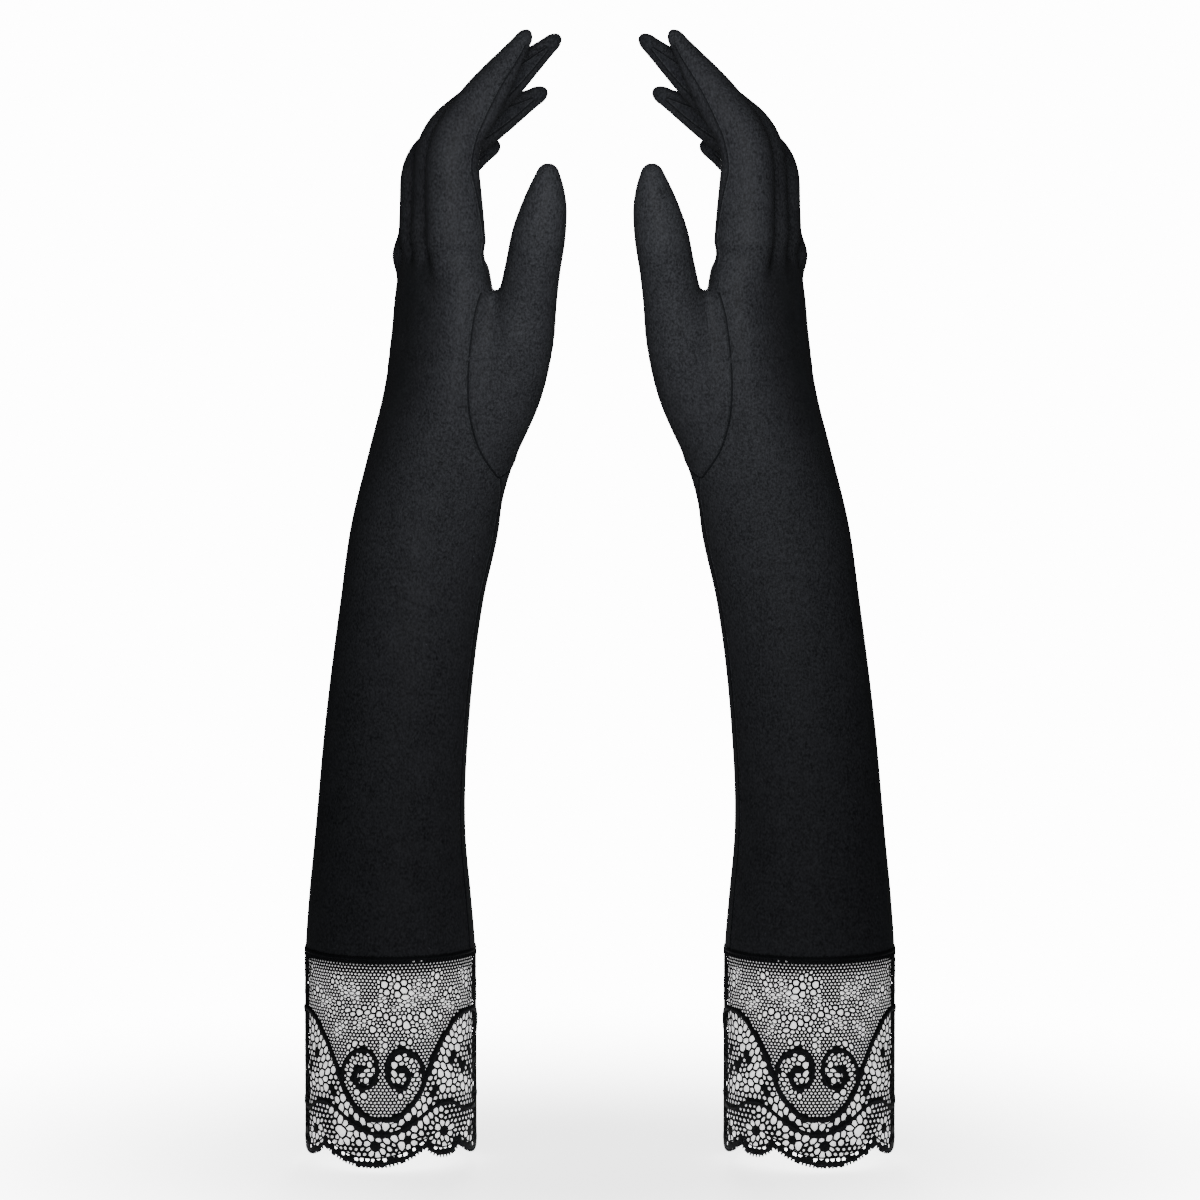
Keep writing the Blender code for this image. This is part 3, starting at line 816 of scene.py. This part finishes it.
# Half of the heart's and arch's cord: from the foot of the heart up to the arch's top
ARCH_CORD = ((0, 19), (3.6, 19.3), (7.4, 21), (10.6, 24), (13.6, 27.5), (15.6, 31), (17, 35),
             (19, 39.4), (21.4, 44), (24.2, 48.6), (27.6, 52.8), (31.4, 56.2), (35.6, 58),
             (41, 58.4))
LOWER_CORD = ((0, 13.5), (4.4, 14), (9, 16), (14.2, 19.2), (19.6, 22.8), (24.4, 24.8),
              (29.6, 24.2), (35, 21.6), (41, 20.4))
SPIRAL = ((16.2, 33.5), (15.8, 38), (13.6, 42.4), (10, 45.2), (6, 45.6), (3, 43.2),
          (1.9, 39.4), (2.4, 35.2), (4.6, 31.9), (7.8, 31), (10, 33.2), (10.2, 36.6),
          (8.4, 39), (6.2, 38.4))
SPIRAL_HOLES = ((13.2, 36.2), (12.3, 39.6), (9.6, 42.2), (6.4, 42.6), (4.5, 40), (4.4, 36.6),
                (6.1, 34), (7.8, 36.2), (12.6, 32.8), (10.2, 29.6), (7, 28))
ARCH_HOLES = ((24.2, 30.2), (27, 29), (29.8, 29.4), (25.2, 33), (28, 31.8), (30.6, 32.2),
              (27.6, 34.8), (34.4, 47.8), (36.8, 50), (39.6, 51), (32.6, 44.8), (36, 29.4),
              (38.6, 27.8), (41, 30.2), (34.2, 33))
FIELD_HOLES = ((-3, 60.8), (-0.8, 59.4), (1.6, 58.4), (4.2, 57.8), (6.6, 56.2), (9.4, 54.8),
               (12.4, 52.8), (15, 50.6), (10.6, 58.2), (13.2, 57.6), (15.7, 58.6),
               (18.2, 59.8), (21, 58.9), (23.4, 57.2), (0.8, 70.6), (3.2, 73), (6.2, 73.4),
               (8.6, 71.4), (8.4, 68.4), (5.6, 66.8), (2.4, 67.6), (5.6, 70.2),
               (-13.8, 60.5), (-11.2, 59.2), (-8.6, 59.8), (-6.4, 61.6), (-13.2, 46.6),
               (-10.6, 48), (-7.8, 48.2), (7.8, 48.2), (10.8, 48.6), (3.4, 53.6), (-3.4, 53.4),
               (0, 51.6), (-17.6, 62.6), (-20.4, 60.6), (-22.6, 58), (26, 66), (28.6, 67.4),
               (31.4, 66.4), (33, 63.8), (-27, 66.4), (-29.8, 67), (-32.2, 65.2), (41, 72.6),
               (38.4, 71), (43.6, 71), (38.6, 68), (43.4, 68), (41, 66.4), (20.6, 70.4),
               (22, 73), (-20.4, 71), (-17.8, 72.4))
# Petals and leaves, worked close: centre, half length, half breadth, direction in degrees
PETALS = ((13.4, 69.4, 4.6, 2.0, 60), (17.6, 66.4, 4.4, 1.9, 15), (-10.6, 67.4, 4.4, 1.9, 115),
          (-15, 67.6, 4.0, 1.8, 150), (0, 64.6, 3.4, 1.6, 90), (-7.5, 56, 3.8, 1.7, 35),
          (-17.4, 52.8, 4.4, 1.8, 55), (11, 63.6, 4.0, 1.8, 150), (6.2, 61.8, 3.4, 1.6, 20),
          (18.4, 53.4, 3.8, 1.6, 125), (0, 47.6, 3.0, 1.3, 90), (-24, 63.2, 4.4, 1.8, 30),
          (26.6, 61.6, 4.4, 1.8, 150), (35.4, 72.8, 4.0, 1.8, 140), (46.6, 72.8, 4.0, 1.8, 40),
          (41, 62.6, 3.4, 1.7, 90), (35.2, 37.8, 2.9, 1.4, 145), (29.2, 41.8, 2.9, 1.4, 60),
          (41, 44, 3.0, 1.5, 90), (33, 52.6, 3.6, 1.5, 35), (23.4, 36.6, 2.6, 1.3, 75),
          (41, 34.6, 2.2, 1.5, 90), (20.2, 28.8, 3.0, 1.4, 40))
ROSETTES = ((-15.0, 12.6), (-2.6, 8.6), (9.0, 11.6), (25.4, 13.8), (41.5, 11.6), (50.5, 13.4))
FIELD_FOOT = 44.0        # petals above this height are hatched, and leaves below it are close
VALLEY = 8.4
SCALLOPS = ((-25.0, 17.0, 1.2), (17.0, 33.4, 4.3), (33.4, 57.0, 3.7))


def hem(u):
    """Height of the scalloped hem."""
    w = (np.asarray(u, float) + 25.0) % REPEAT - 25.0
    height = np.full(w.shape, VALLEY)
    for start, end, bottom in SCALLOPS:
        s = (w - start) / (end - start)
        inside = (s >= 0) & (s <= 1)
        curve = bottom + (VALLEY - bottom) * np.abs(2 * s - 1) ** 2.2
        height = np.where(inside, curve, height)
    return height


def repeated(u):
    """u brought into the repeat round the heart, from minus half a repeat to half."""
    return (u + REPEAT / 2) % REPEAT - REPEAT / 2


def copies(shapes):
    """A drawn point list at every repeat that reaches the lace."""
    edge = LACE_ROUND / 2
    for k in (-1, 0, 1):
        for shape in shapes:
            moved = np.array(shape, float) + (k * REPEAT, 0)
            if moved[:, 0].min() < edge and moved[:, 0].max() > -edge:
                yield moved


def both_ways(curve):
    return [curve, tuple((-u, v) for u, v in curve)]


def smooth_line(points, step=0.9):
    """A curve through points, as samples a step apart."""
    points = np.array(points, float)
    at = np.concatenate(((0,), np.cumsum(np.linalg.norm(np.diff(points, axis=0), axis=1))))
    table = np.column_stack((at, points))
    functions = smooth_table(table, 0.25)
    samples = np.linspace(0, at[-1], max(3, int(at[-1] / step) + 1))
    return np.stack([f(samples) for f in functions], -1)


def line_distance(points, line):
    """Distance from points to a sampled line, in the flat."""
    best = np.full(len(points), 1e9)
    low, high = line.min(0) - 4, line.max(0) + 4
    held = np.nonzero(np.all((points > low) & (points < high), axis=1))[0]
    q = points[held]
    for a, b in zip(line[:-1], line[1:]):
        t = np.clip((q - a) @ (b - a) / max((b - a) @ (b - a), 1e-9), 0, 1)
        best[held] = np.minimum(best[held], np.linalg.norm(q - a - t[:, None] * (b - a), axis=1))
    return best


def chain(line, gap, offset):
    """Places a gap apart beside a sampled line, on its left for a positive offset."""
    at = np.concatenate(((0,), np.cumsum(np.linalg.norm(np.diff(line, axis=0), axis=1))))
    samples = np.arange(gap / 2, at[-1], gap)
    here = np.stack([np.interp(samples, at, line[:, k]) for k in (0, 1)], -1)
    ahead = np.stack([np.interp(samples + 0.5, at, line[:, k]) for k in (0, 1)], -1)
    behind = np.stack([np.interp(samples - 0.5, at, line[:, k]) for k in (0, 1)], -1)
    way = ahead - behind
    way /= np.linalg.norm(way, axis=1)[:, None]
    return here + np.stack((-way[:, 1], way[:, 0]), -1) * offset


def open_places():
    """The middles of the large holes and of the rosettes' holes, in one repeat."""
    places = [(s * u, v) for u, v in SPIRAL_HOLES for s in (1, -1)]
    places += [(s * u, v) for u, v in ARCH_HOLES for s in (1, -1) if u < 41]
    places += [p for p in ARCH_HOLES if p[0] == 41]
    places += list(FIELD_HOLES)
    arch, lower = smooth_line(ARCH_CORD), smooth_line(LOWER_CORD)
    upper_part = arch[arch[:, 1] > 37]
    foot = arch[arch[:, 1] < 31]
    for found in (chain(upper_part, 2.75, -2.7), chain(upper_part, 2.9, -5.4),
                  chain(foot, 2.7, -2.5), chain(foot[6:], 2.8, -5.0),
                  chain(lower[lower[:, 0] < 24], 2.7, -2.2)):
        places += [(s * u, v) for u, v in found for s in (1, -1)]
    for u, v in ROSETTES:
        for k in range(8):
            a = 2 * pi * k / 8 + 0.3
            places.append((u + 3.1 * cos(a), v + 2.9 * sin(a)))
    return thinned(np.array(places), 2.0)


def thinned(points, gap):
    """Leaves out points that are nearer than a gap to one kept before."""
    kept = []
    for p in points:
        if all(hypot(p[0] - q[0], p[1] - q[1]) > gap for q in kept):
            kept.append(p)
    return np.array(kept)


def petal_depth(points):
    """How far inside a petal or leaf points are: 1 at its middle, below 0 outside all."""
    best = np.full(len(points), -1.0)
    w = repeated(points[:, 0])
    for u, v, length, breadth, way in PETALS:
        ways = [(u, way)] if u > 40.9 or v > FIELD_FOOT else [(u, way), (-u, 180 - way)]
        for centre, turn in ways:
            a = radians(turn)
            du = repeated(w - centre)
            dv = points[:, 1] - v
            x, y = du * cos(a) + dv * sin(a), dv * cos(a) - du * sin(a)
            best = np.maximum(best, 1 - np.hypot(x / length, y / breadth))
    return best


def above_arch(points):
    """Height over the line of the heart's foot and the arches."""
    arch = np.array(ARCH_CORD, float)
    return points[:, 1] - np.interp(np.abs(repeated(points[:, 0])), arch[:, 0], arch[:, 1])


def rosette_heart(points):
    best = np.full(len(points), 1e9)
    for u, v in ROSETTES:
        du = repeated(repeated(points[:, 0]) - u)
        best = np.minimum(best, np.hypot(du, points[:, 1] - v))
    return best


def below_lower(points):
    """Depth under the lower cord."""
    lower = np.array(LOWER_CORD, float)
    return np.interp(np.abs(repeated(points[:, 0])), lower[:, 0], lower[:, 1]) - points[:, 1]


def lace_lines():
    """Every cord of the lace: its samples, half width and rise."""
    found = []
    for line in copies(both_ways(ARCH_CORD)):
        found.append((smooth_line(line), 1.15, 0.62))
    for line in copies(both_ways(LOWER_CORD)):
        found.append((smooth_line(line), 0.8, 0.45))
    for line in copies(both_ways(SPIRAL)):
        found.append((smooth_line(line, 0.7), 0.9, 0.5))
    return found


def lattice(pitch, row, shift=0.5):
    """Rows of points over the whole lace, every second row a share of the pitch along."""
    edge = LACE_ROUND / 2
    rows = np.arange(-2 * row, LACE_TOP + 2.5 * row, row)
    columns = np.arange(-edge - 2 * pitch, edge + 2 * pitch, pitch)
    u, v = np.meshgrid(columns, rows)
    u = u + (np.arange(len(rows)) % 2)[:, None] * pitch * shift
    found = np.stack((u.ravel(), v.ravel()), -1)
    wobble = np.stack((np.sin(found[:, 1] * 1.3 + found[:, 0] * 0.31),
                       np.cos(found[:, 0] * 1.1 + found[:, 1] * 0.27)), -1)
    return found + wobble * row * 0.06


def lace_seeds():
    """Middles of the lace's meshes, and the kind of each."""
    edge = LACE_ROUND / 2
    base = open_places()
    large = np.concatenate([base + (k * REPEAT, 0) for k in (-1, 0, 1)])
    large = large[np.abs(large[:, 0]) < edge - 1.2]
    large = large[large[:, 1] > hem(large[:, 0]) + 2.8]
    found, kinds = [large], [np.full(len(large), "large", dtype=object)]
    for kind, pitch, row, shift, room in (
            ("fine", NET_PITCH, NET_ROW, 0.5, 1.72),
            ("coarse", COARSE_PITCH, COARSE_ROW, 0.5, 1.95),
            ("hatch", HATCH_PITCH, HATCH_ROW, 0.12, 1.5)):
        points = lattice(pitch, row, shift)
        in_field = above_arch(points) > 0
        hatched = (petal_depth(points) > 0) & in_field & (points[:, 1] > FIELD_FOOT)
        good = {"fine": in_field & ~hatched, "coarse": ~in_field, "hatch": hatched}[kind]
        for place in large:
            good &= np.hypot(points[:, 0] - place[0], points[:, 1] - place[1]) > room
        found.append(points[good])
        kinds.append(np.full(good.sum(), kind, dtype=object))
    return np.concatenate(found), np.concatenate(kinds)


def wrapped(u, v, rise):
    """Places on the cuff, with a rise outwards."""
    a = radians(HEART_DIRECTION) + np.asarray(u) / LACE_RADIUS
    return placed((CUFF_HALF_P + rise) * np.cos(a), (CUFF_HALF_N + rise) * np.sin(a), v, 0.0)


def net_corners(points):
    """The Delaunay triangles' middles, and each mesh's corners in turn round it."""
    found, _, triangles, origins = delaunay_2d_cdt(
        [Vector(p) for p in points], [], [], 0, 1e-5)[:4]
    triangles = np.array([t for t in triangles if len(t) == 3])
    origin = np.array([o[0] for o in origins])
    triangles = origin[triangles]
    middles = points[triangles].mean(1)
    mesh = triangles.ravel()
    corner = np.repeat(np.arange(len(triangles)), 3)
    away = middles[corner] - points[mesh]
    order = np.lexsort((np.arctan2(away[:, 1], away[:, 0]), mesh))
    return middles, mesh[order], corner[order]


def mesh_state(points, kinds, lines):
    """For each mesh of the net: thread half width, rise and whether it is there and open."""
    petal = petal_depth(points)
    above_hem = points[:, 1] - hem(points[:, 0])
    large = kinds == "large"
    widths = {"fine": THREAD, "coarse": COARSE_THREAD, "hatch": HATCH_THREAD,
              "large": LARGE_THREAD}
    thread = np.array([widths[k] for k in kinds])
    rise = np.where(kinds == "fine", NET_RISE, DENSE_RISE)
    solid = (petal > 0) & (points[:, 1] < FIELD_FOOT) & ~large & (above_arch(points) < 0)
    low = (kinds == "coarse") & (below_lower(points) > 0)
    thread = np.where(low, COARSE_THREAD + 0.14, thread)
    solid |= (rosette_heart(points) < 1.5) & ~large
    solid |= (above_hem < 2.0) | (points[:, 1] > LACE_TOP - 0.4)
    under_seam = points[:, 1] > LACE_TOP - 4.5
    thread = np.where((above_hem < 4.2) & ~large, 0.5, thread)
    thread = np.where(under_seam, np.maximum(thread, 0.5), thread)
    there = (above_hem > 0.2) & (points[:, 1] < LACE_TOP + 0.6)
    there &= np.abs(points[:, 0]) < LACE_ROUND / 2 + 0.3
    for line, half, _ in lines:
        away = line_distance(points, line)
        there &= away > half - 0.8
        solid |= away < half - 0.15
    return thread, rise, there, solid


def lace_net():
    """Points and faces of the whole net of one cuff."""
    lines = lace_lines()
    points, kinds = lace_seeds()
    middles, mesh, corner = net_corners(points)
    thread, rise, there, solid = mesh_state(points, kinds, lines)
    held = there[mesh]
    mesh, corner = mesh[held], corner[held]
    count = len(mesh)
    starts = np.concatenate(((True,), mesh[1:] != mesh[:-1]))
    first = np.nonzero(starts)[0]
    last = np.concatenate((first[1:] - 1, (count - 1,)))
    after = np.arange(count) + 1
    after[last] = first
    used, corner = np.unique(corner, return_inverse=True)
    middles = middles[used]
    corner_rise = np.zeros(len(used))
    np.maximum.at(corner_rise, corner, rise[mesh])
    away = middles[corner] - points[mesh]
    size = np.maximum(np.linalg.norm(away, axis=1), 1e-6)
    share = np.clip(1 - thread[mesh] / size, 0.12, 0.95)
    ring = points[mesh] + away * share[:, None]
    centre_of, centre = np.unique(mesh, return_inverse=True)
    spots = [wrapped(middles[:, 0], middles[:, 1], corner_rise),
             wrapped(middles[:, 0], middles[:, 1], -corner_rise),
             wrapped(ring[:, 0], ring[:, 1], 0.0),
             wrapped(points[centre_of, 0], points[centre_of, 1], rise[centre_of]),
             wrapped(points[centre_of, 0], points[centre_of, 1], -rise[centre_of])]
    base = np.cumsum([0] + [len(s) for s in spots])
    j = np.arange(count)
    a, b = corner, corner[after]
    is_open = ~solid[mesh]
    outer = np.stack((a, b, base[2] + after, base[2] + j), -1)[is_open]
    inner = np.stack((base[1] + b, base[1] + a, base[2] + j, base[2] + after), -1)[is_open]
    shut = ~is_open
    cap = np.stack((a, b, base[3] + centre), -1)[shut]
    under = np.stack((base[1] + b, base[1] + a, base[4] + centre), -1)[shut]
    key = np.sort(np.stack((a, b), -1), axis=1)
    _, index, uses = np.unique(key, axis=0, return_inverse=True, return_counts=True)
    lone = uses[index.ravel()] == 1
    wall = np.stack((b, a, base[1] + a, base[1] + b), -1)[lone]
    quads = np.concatenate((outer, inner, wall)).tolist()
    return np.concatenate(spots), quads + np.concatenate((cap, under)).tolist()


def swept(line, half_width, rise, lift=0.05, sides=8, closed=False, ends=0.3):
    """A raised cord along a flat line: an oval section, with ends that taper away."""
    way = np.gradient(line, axis=0)
    if closed:
        way = np.roll(line, -1, axis=0) - np.roll(line, 1, axis=0)
    way /= np.maximum(np.linalg.norm(way, axis=1), 1e-9)[:, None]
    side = np.stack((-way[:, 1], way[:, 0]), -1)
    count = len(line)
    taper = np.ones(count)
    if not closed:
        taper[[0, -1]] = ends
    points, faces = [], []
    for k in range(sides):
        a = 2 * pi * k / sides
        flat = line + side * (half_width * cos(a) * taper)[:, None]
        points.append(wrapped(flat[:, 0], flat[:, 1], lift + rise * sin(a) * taper))
    points = np.stack(points, 1).reshape(-1, 3)
    for i in range(count if closed else count - 1):
        m = (i + 1) % count
        for k in range(sides):
            q = (k + 1) % sides
            faces.append((i * sides + k, i * sides + q, m * sides + q, m * sides + k))
    if not closed:
        faces.append(tuple(range(sides))[::-1])
        faces.append(tuple((count - 1) * sides + k for k in range(sides)))
    return points, faces


def joined(parts):
    points, faces, shift = [], [], 0
    for part_points, part_faces in parts:
        points.append(part_points)
        faces += [[i + shift for i in f] for f in part_faces]
        shift += len(part_points)
    return np.concatenate(points), faces


def hem_line(rise=0.0, step=0.7):
    edge = LACE_ROUND / 2
    u = np.arange(-edge, edge, LACE_ROUND / round(LACE_ROUND / step))
    return np.stack((u, hem(u) + rise), -1)


def picots():
    """The row of little rounded teeth along the hem."""
    line = hem_line(0.2, 0.35)
    at = np.concatenate(((0,), np.cumsum(np.linalg.norm(np.diff(line, axis=0), axis=1))))
    count = round(at[-1] / 1.45)
    parts = []
    for k in range(count):
        here, ahead = (np.array([np.interp(t, at, line[:, i]) for i in (0, 1)])
                       for t in ((k + 0.5) * at[-1] / count, (k + 0.6) * at[-1] / count))
        way = (ahead - here) / max(np.linalg.norm(ahead - here), 1e-9)
        down = np.array((way[1], -way[0]))
        tooth = here + down * np.linspace(-0.35, 0.95, 5)[:, None]
        parts.append(swept(tooth, 0.4, 0.3, 0.0, 6, ends=0.6))
    return joined(parts)


def clipped_runs(line):
    """The runs of a line that lie on the lace."""
    inside = np.abs(line[:, 0]) < LACE_ROUND / 2 + 0.2
    runs, start = [], None
    for i, held in enumerate(inside):
        if held and start is None:
            start = i
        if start is not None and (not held or i == len(line) - 1):
            stop = i + 1 if held else i
            if stop - start > 3:
                runs.append(line[start:stop])
            start = None
    return runs


def lace_cords():
    parts = []
    for line, half, rise in lace_lines():
        parts += [swept(run, half, rise) for run in clipped_runs(line)]
    return joined(parts)


def hem_cords():
    edge = LACE_ROUND / 2
    back = np.stack((np.full(60, edge), np.linspace(hem(edge) + 0.5, LACE_TOP, 60)), -1)
    return joined([swept(hem_line(0.9), 0.75, 0.36, 0.0, 8, True),
                   swept(hem_line(3.3), 0.32, 0.26, 0.0, 6, True), swept(back, 1.0, 0.42)])


def cuff_seam():
    """The stitched fold where the lace meets the satin."""
    edge = LACE_ROUND / 2
    u = np.arange(-edge, edge, LACE_ROUND / 180)
    top = np.stack((u, np.full(180, LACE_TOP + 0.2)), -1)
    zigzag_u = np.arange(-edge, edge, LACE_ROUND / 560)
    step = np.where(np.arange(len(zigzag_u)) % 4 < 2, 0.75, -0.75)
    zigzag = np.stack((zigzag_u, LACE_TOP - 1.2 + step), -1)
    return swept(top, 0.75, 0.42, -0.1, 10, True), swept(zigzag, 0.12, 0.12, 0.2, 4, True)


def half_area(points, faces):
    mesh = bpy.data.meshes.new("measure")
    mesh.from_pydata(points.tolist(), [], faces)
    area = sum(p.area for p in mesh.polygons) / 2
    bpy.data.meshes.remove(mesh)
    return area


def lining():
    """A thin tube behind the lace, from just over the hem up to the satin."""
    edge = LACE_ROUND / 2
    u = np.arange(-edge, edge, LACE_ROUND / 120)
    rows = np.linspace(0, 1, 9)
    low = hem(u) + 2.6
    points, faces = [], []
    for depth in (-1.5, -1.8):
        for r in rows:
            points.append(wrapped(u, low + (LACE_TOP + 1.0 - low) * r, depth))
    count, levels = len(u), len(rows)
    for i in range(levels - 1):
        for j in range(count):
            k = (j + 1) % count
            a, b = i * count, (i + 1) * count
            faces.append((a + j, a + k, b + k, b + j))
            c = levels * count
            faces.append((c + b + j, c + b + k, c + a + k, c + a + j))
    for i, turned in ((0, False), (levels - 1, True)):
        for j in range(count):
            k = (j + 1) % count
            a, c = i * count, (levels + i) * count
            face = (c + j, c + k, a + k, a + j)
            faces.append(face[::-1] if turned else face)
    return np.concatenate(points), faces


def lace_pieces():
    net_points, net_faces = lace_net()
    cord_points, cord_faces = lace_cords()
    fold, stitches = cuff_seam()
    area = half_area(net_points, net_faces) * MM * MM
    for tag, side in SIDES:
        net = new_object(f"{tag}_net", net_points, net_faces, ("lace",), side)
        cords = new_object(f"{tag}_heart_cords", cord_points, cord_faces, ("cord",), side)
        edge = new_object(f"{tag}_hem_cords", *hem_cords(), ("cord",), side)
        loops = new_object(f"{tag}_picots", *picots(), ("cord",), side)
        band = new_object(f"{tag}_cuff_fold", *fold, ("seam",), side)
        thread = new_object(f"{tag}_cuff_stitches", *stitches, ("thread",), side)
        for obj in (net, cords, edge, loops, band, thread):
            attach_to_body(obj, f"{tag}_sleeve")
        behind = new_object(f"{tag}_lining", *lining(), ("lining",), side)
        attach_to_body(behind, f"{tag}_sleeve")
        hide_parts(f"{tag}_lace_net")
        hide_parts(f"{tag}_lace_cord")
        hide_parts(f"{tag}_lace_picot_edge")
        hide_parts(f"{tag}_cuff_seam_band")


lace_pieces()
seam_pieces()


# ---------------------------------------------------------------- stage, light and camera

FLOOR_GLOW = 2.6
FLOOR_WHOLE, FLOOR_GONE, FLOOR_LEVEL = 50.0, 420.0, -1.5
KEY_POWER, FILL_POWER, REAR_POWER = 1.2, 0.9, 2.6
ROOM_LIGHT, SURROUND = 0.2, 14.0         # the room lights the gloves, the surround is only seen
CAMERA_DISTANCE, CAMERA_LIFT, AIM_HEIGHT = 2.2, 4.8, 0.2134
SENSOR, FRAME_WIDTH = 36.0, 0.456


def shown_mix(tree, share, first, second, output):
    """Shows a mix of two shaders by a share."""
    mix = tree.nodes.new("ShaderNodeMixShader")
    tree.links.new(share, mix.inputs[0])
    tree.links.new(first.outputs[0], mix.inputs[1])
    tree.links.new(second.outputs[0], mix.inputs[2])
    tree.links.new(mix.outputs[0], tree.nodes[output].inputs["Surface"])


def stage():
    """A pale round floor whose rim fades into the studio's white surround."""
    material, tree, shader = new_material("pale_paper")
    tone = spread(tree, noise_node(tree, 60.0, 3.0).outputs["Fac"], 0.0, 1.0)
    colour = mix_colour(tree, tone, (0.92, 0.92, 0.92), (0.95, 0.95, 0.95))
    tree.links.new(colour, shader.inputs["Base Color"])
    shader.inputs["Roughness"].default_value = 0.9
    shader.inputs["Specular IOR Level"].default_value = 0.1
    shader.inputs["Emission Color"].default_value = (1, 1, 1, 1)
    shader.inputs["Emission Strength"].default_value = FLOOR_GLOW
    place = tree.nodes.new("ShaderNodeTexCoord")
    reach = tree.nodes.new("ShaderNodeVectorMath")
    reach.operation = "LENGTH"
    tree.links.new(place.outputs["Object"], reach.inputs[0])
    fade = tree.nodes.new("ShaderNodeMapRange")
    fade.interpolation_type = "SMOOTHSTEP"
    fade.inputs["From Min"].default_value = FLOOR_WHOLE * MM
    fade.inputs["From Max"].default_value = FLOOR_GONE * MM
    tree.links.new(reach.outputs["Value"], fade.inputs["Value"])
    clear = tree.nodes.new("ShaderNodeBsdfTransparent")
    shown_mix(tree, fade.outputs["Result"], shader, clear, "Material Output")
    MATERIALS["stage"] = material
    sides = 96
    points = [(FLOOR_GONE * cos(2 * pi * k / sides), FLOOR_GONE * sin(2 * pi * k / sides),
               FLOOR_LEVEL) for k in range(sides)]
    new_object("floor", np.array(points), [tuple(range(sides))], ("stage",))


def softbox(name, place, aim, side, power, spread_angle):
    data = bpy.data.lights.new(name, "AREA")
    data.shape = "SQUARE"
    data.size = side
    data.energy = power
    data.spread = radians(spread_angle)
    obj = bpy.data.objects.new(name, data)
    obj.location = place
    obj.rotation_euler = (Vector(aim) - Vector(place)).to_track_quat("-Z", "Y").to_euler()
    bpy.context.scene.collection.objects.link(obj)


def lights():
    """Softboxes before and behind the gloves, and a dim room in a white surround."""
    softbox("key_softbox", (0.0, -0.45, 0.42), (0, 0, 0.36), 0.2, KEY_POWER, 60)
    softbox("fill_softbox", (0.0, -0.8, 0.3), (0, 0, 0.15), 0.3, FILL_POWER, 90)
    softbox("rear_softbox", (0.0, 0.85, 0.5), (0, 0, 0.22), 0.2, REAR_POWER, 90)
    world = bpy.data.worlds.new("studio")
    world.use_nodes = True
    tree = world.node_tree
    room = tree.nodes["Background"]
    room.inputs["Color"].default_value = (0.96, 0.98, 1.0, 1)
    room.inputs["Strength"].default_value = ROOM_LIGHT
    surround = tree.nodes.new("ShaderNodeBackground")
    surround.inputs["Color"].default_value = (1, 1, 1, 1)
    surround.inputs["Strength"].default_value = SURROUND
    path = tree.nodes.new("ShaderNodeLightPath")
    shown_mix(tree, path.outputs["Is Camera Ray"], room, surround, "World Output")
    bpy.context.scene.world = world


def camera():
    lift, aim = radians(CAMERA_LIFT), Vector((0, 0, AIM_HEIGHT))
    data = bpy.data.cameras.new("camera")
    data.sensor_width = SENSOR
    data.lens = SENSOR * CAMERA_DISTANCE / FRAME_WIDTH
    data.clip_end = 20.0
    obj = bpy.data.objects.new("camera", data)
    obj.location = aim + Vector((0, -cos(lift), sin(lift))) * CAMERA_DISTANCE
    obj.rotation_euler = (aim - obj.location).to_track_quat("-Z", "Y").to_euler()
    bpy.context.scene.collection.objects.link(obj)
    bpy.context.scene.camera = obj


stage()
lights()
camera()
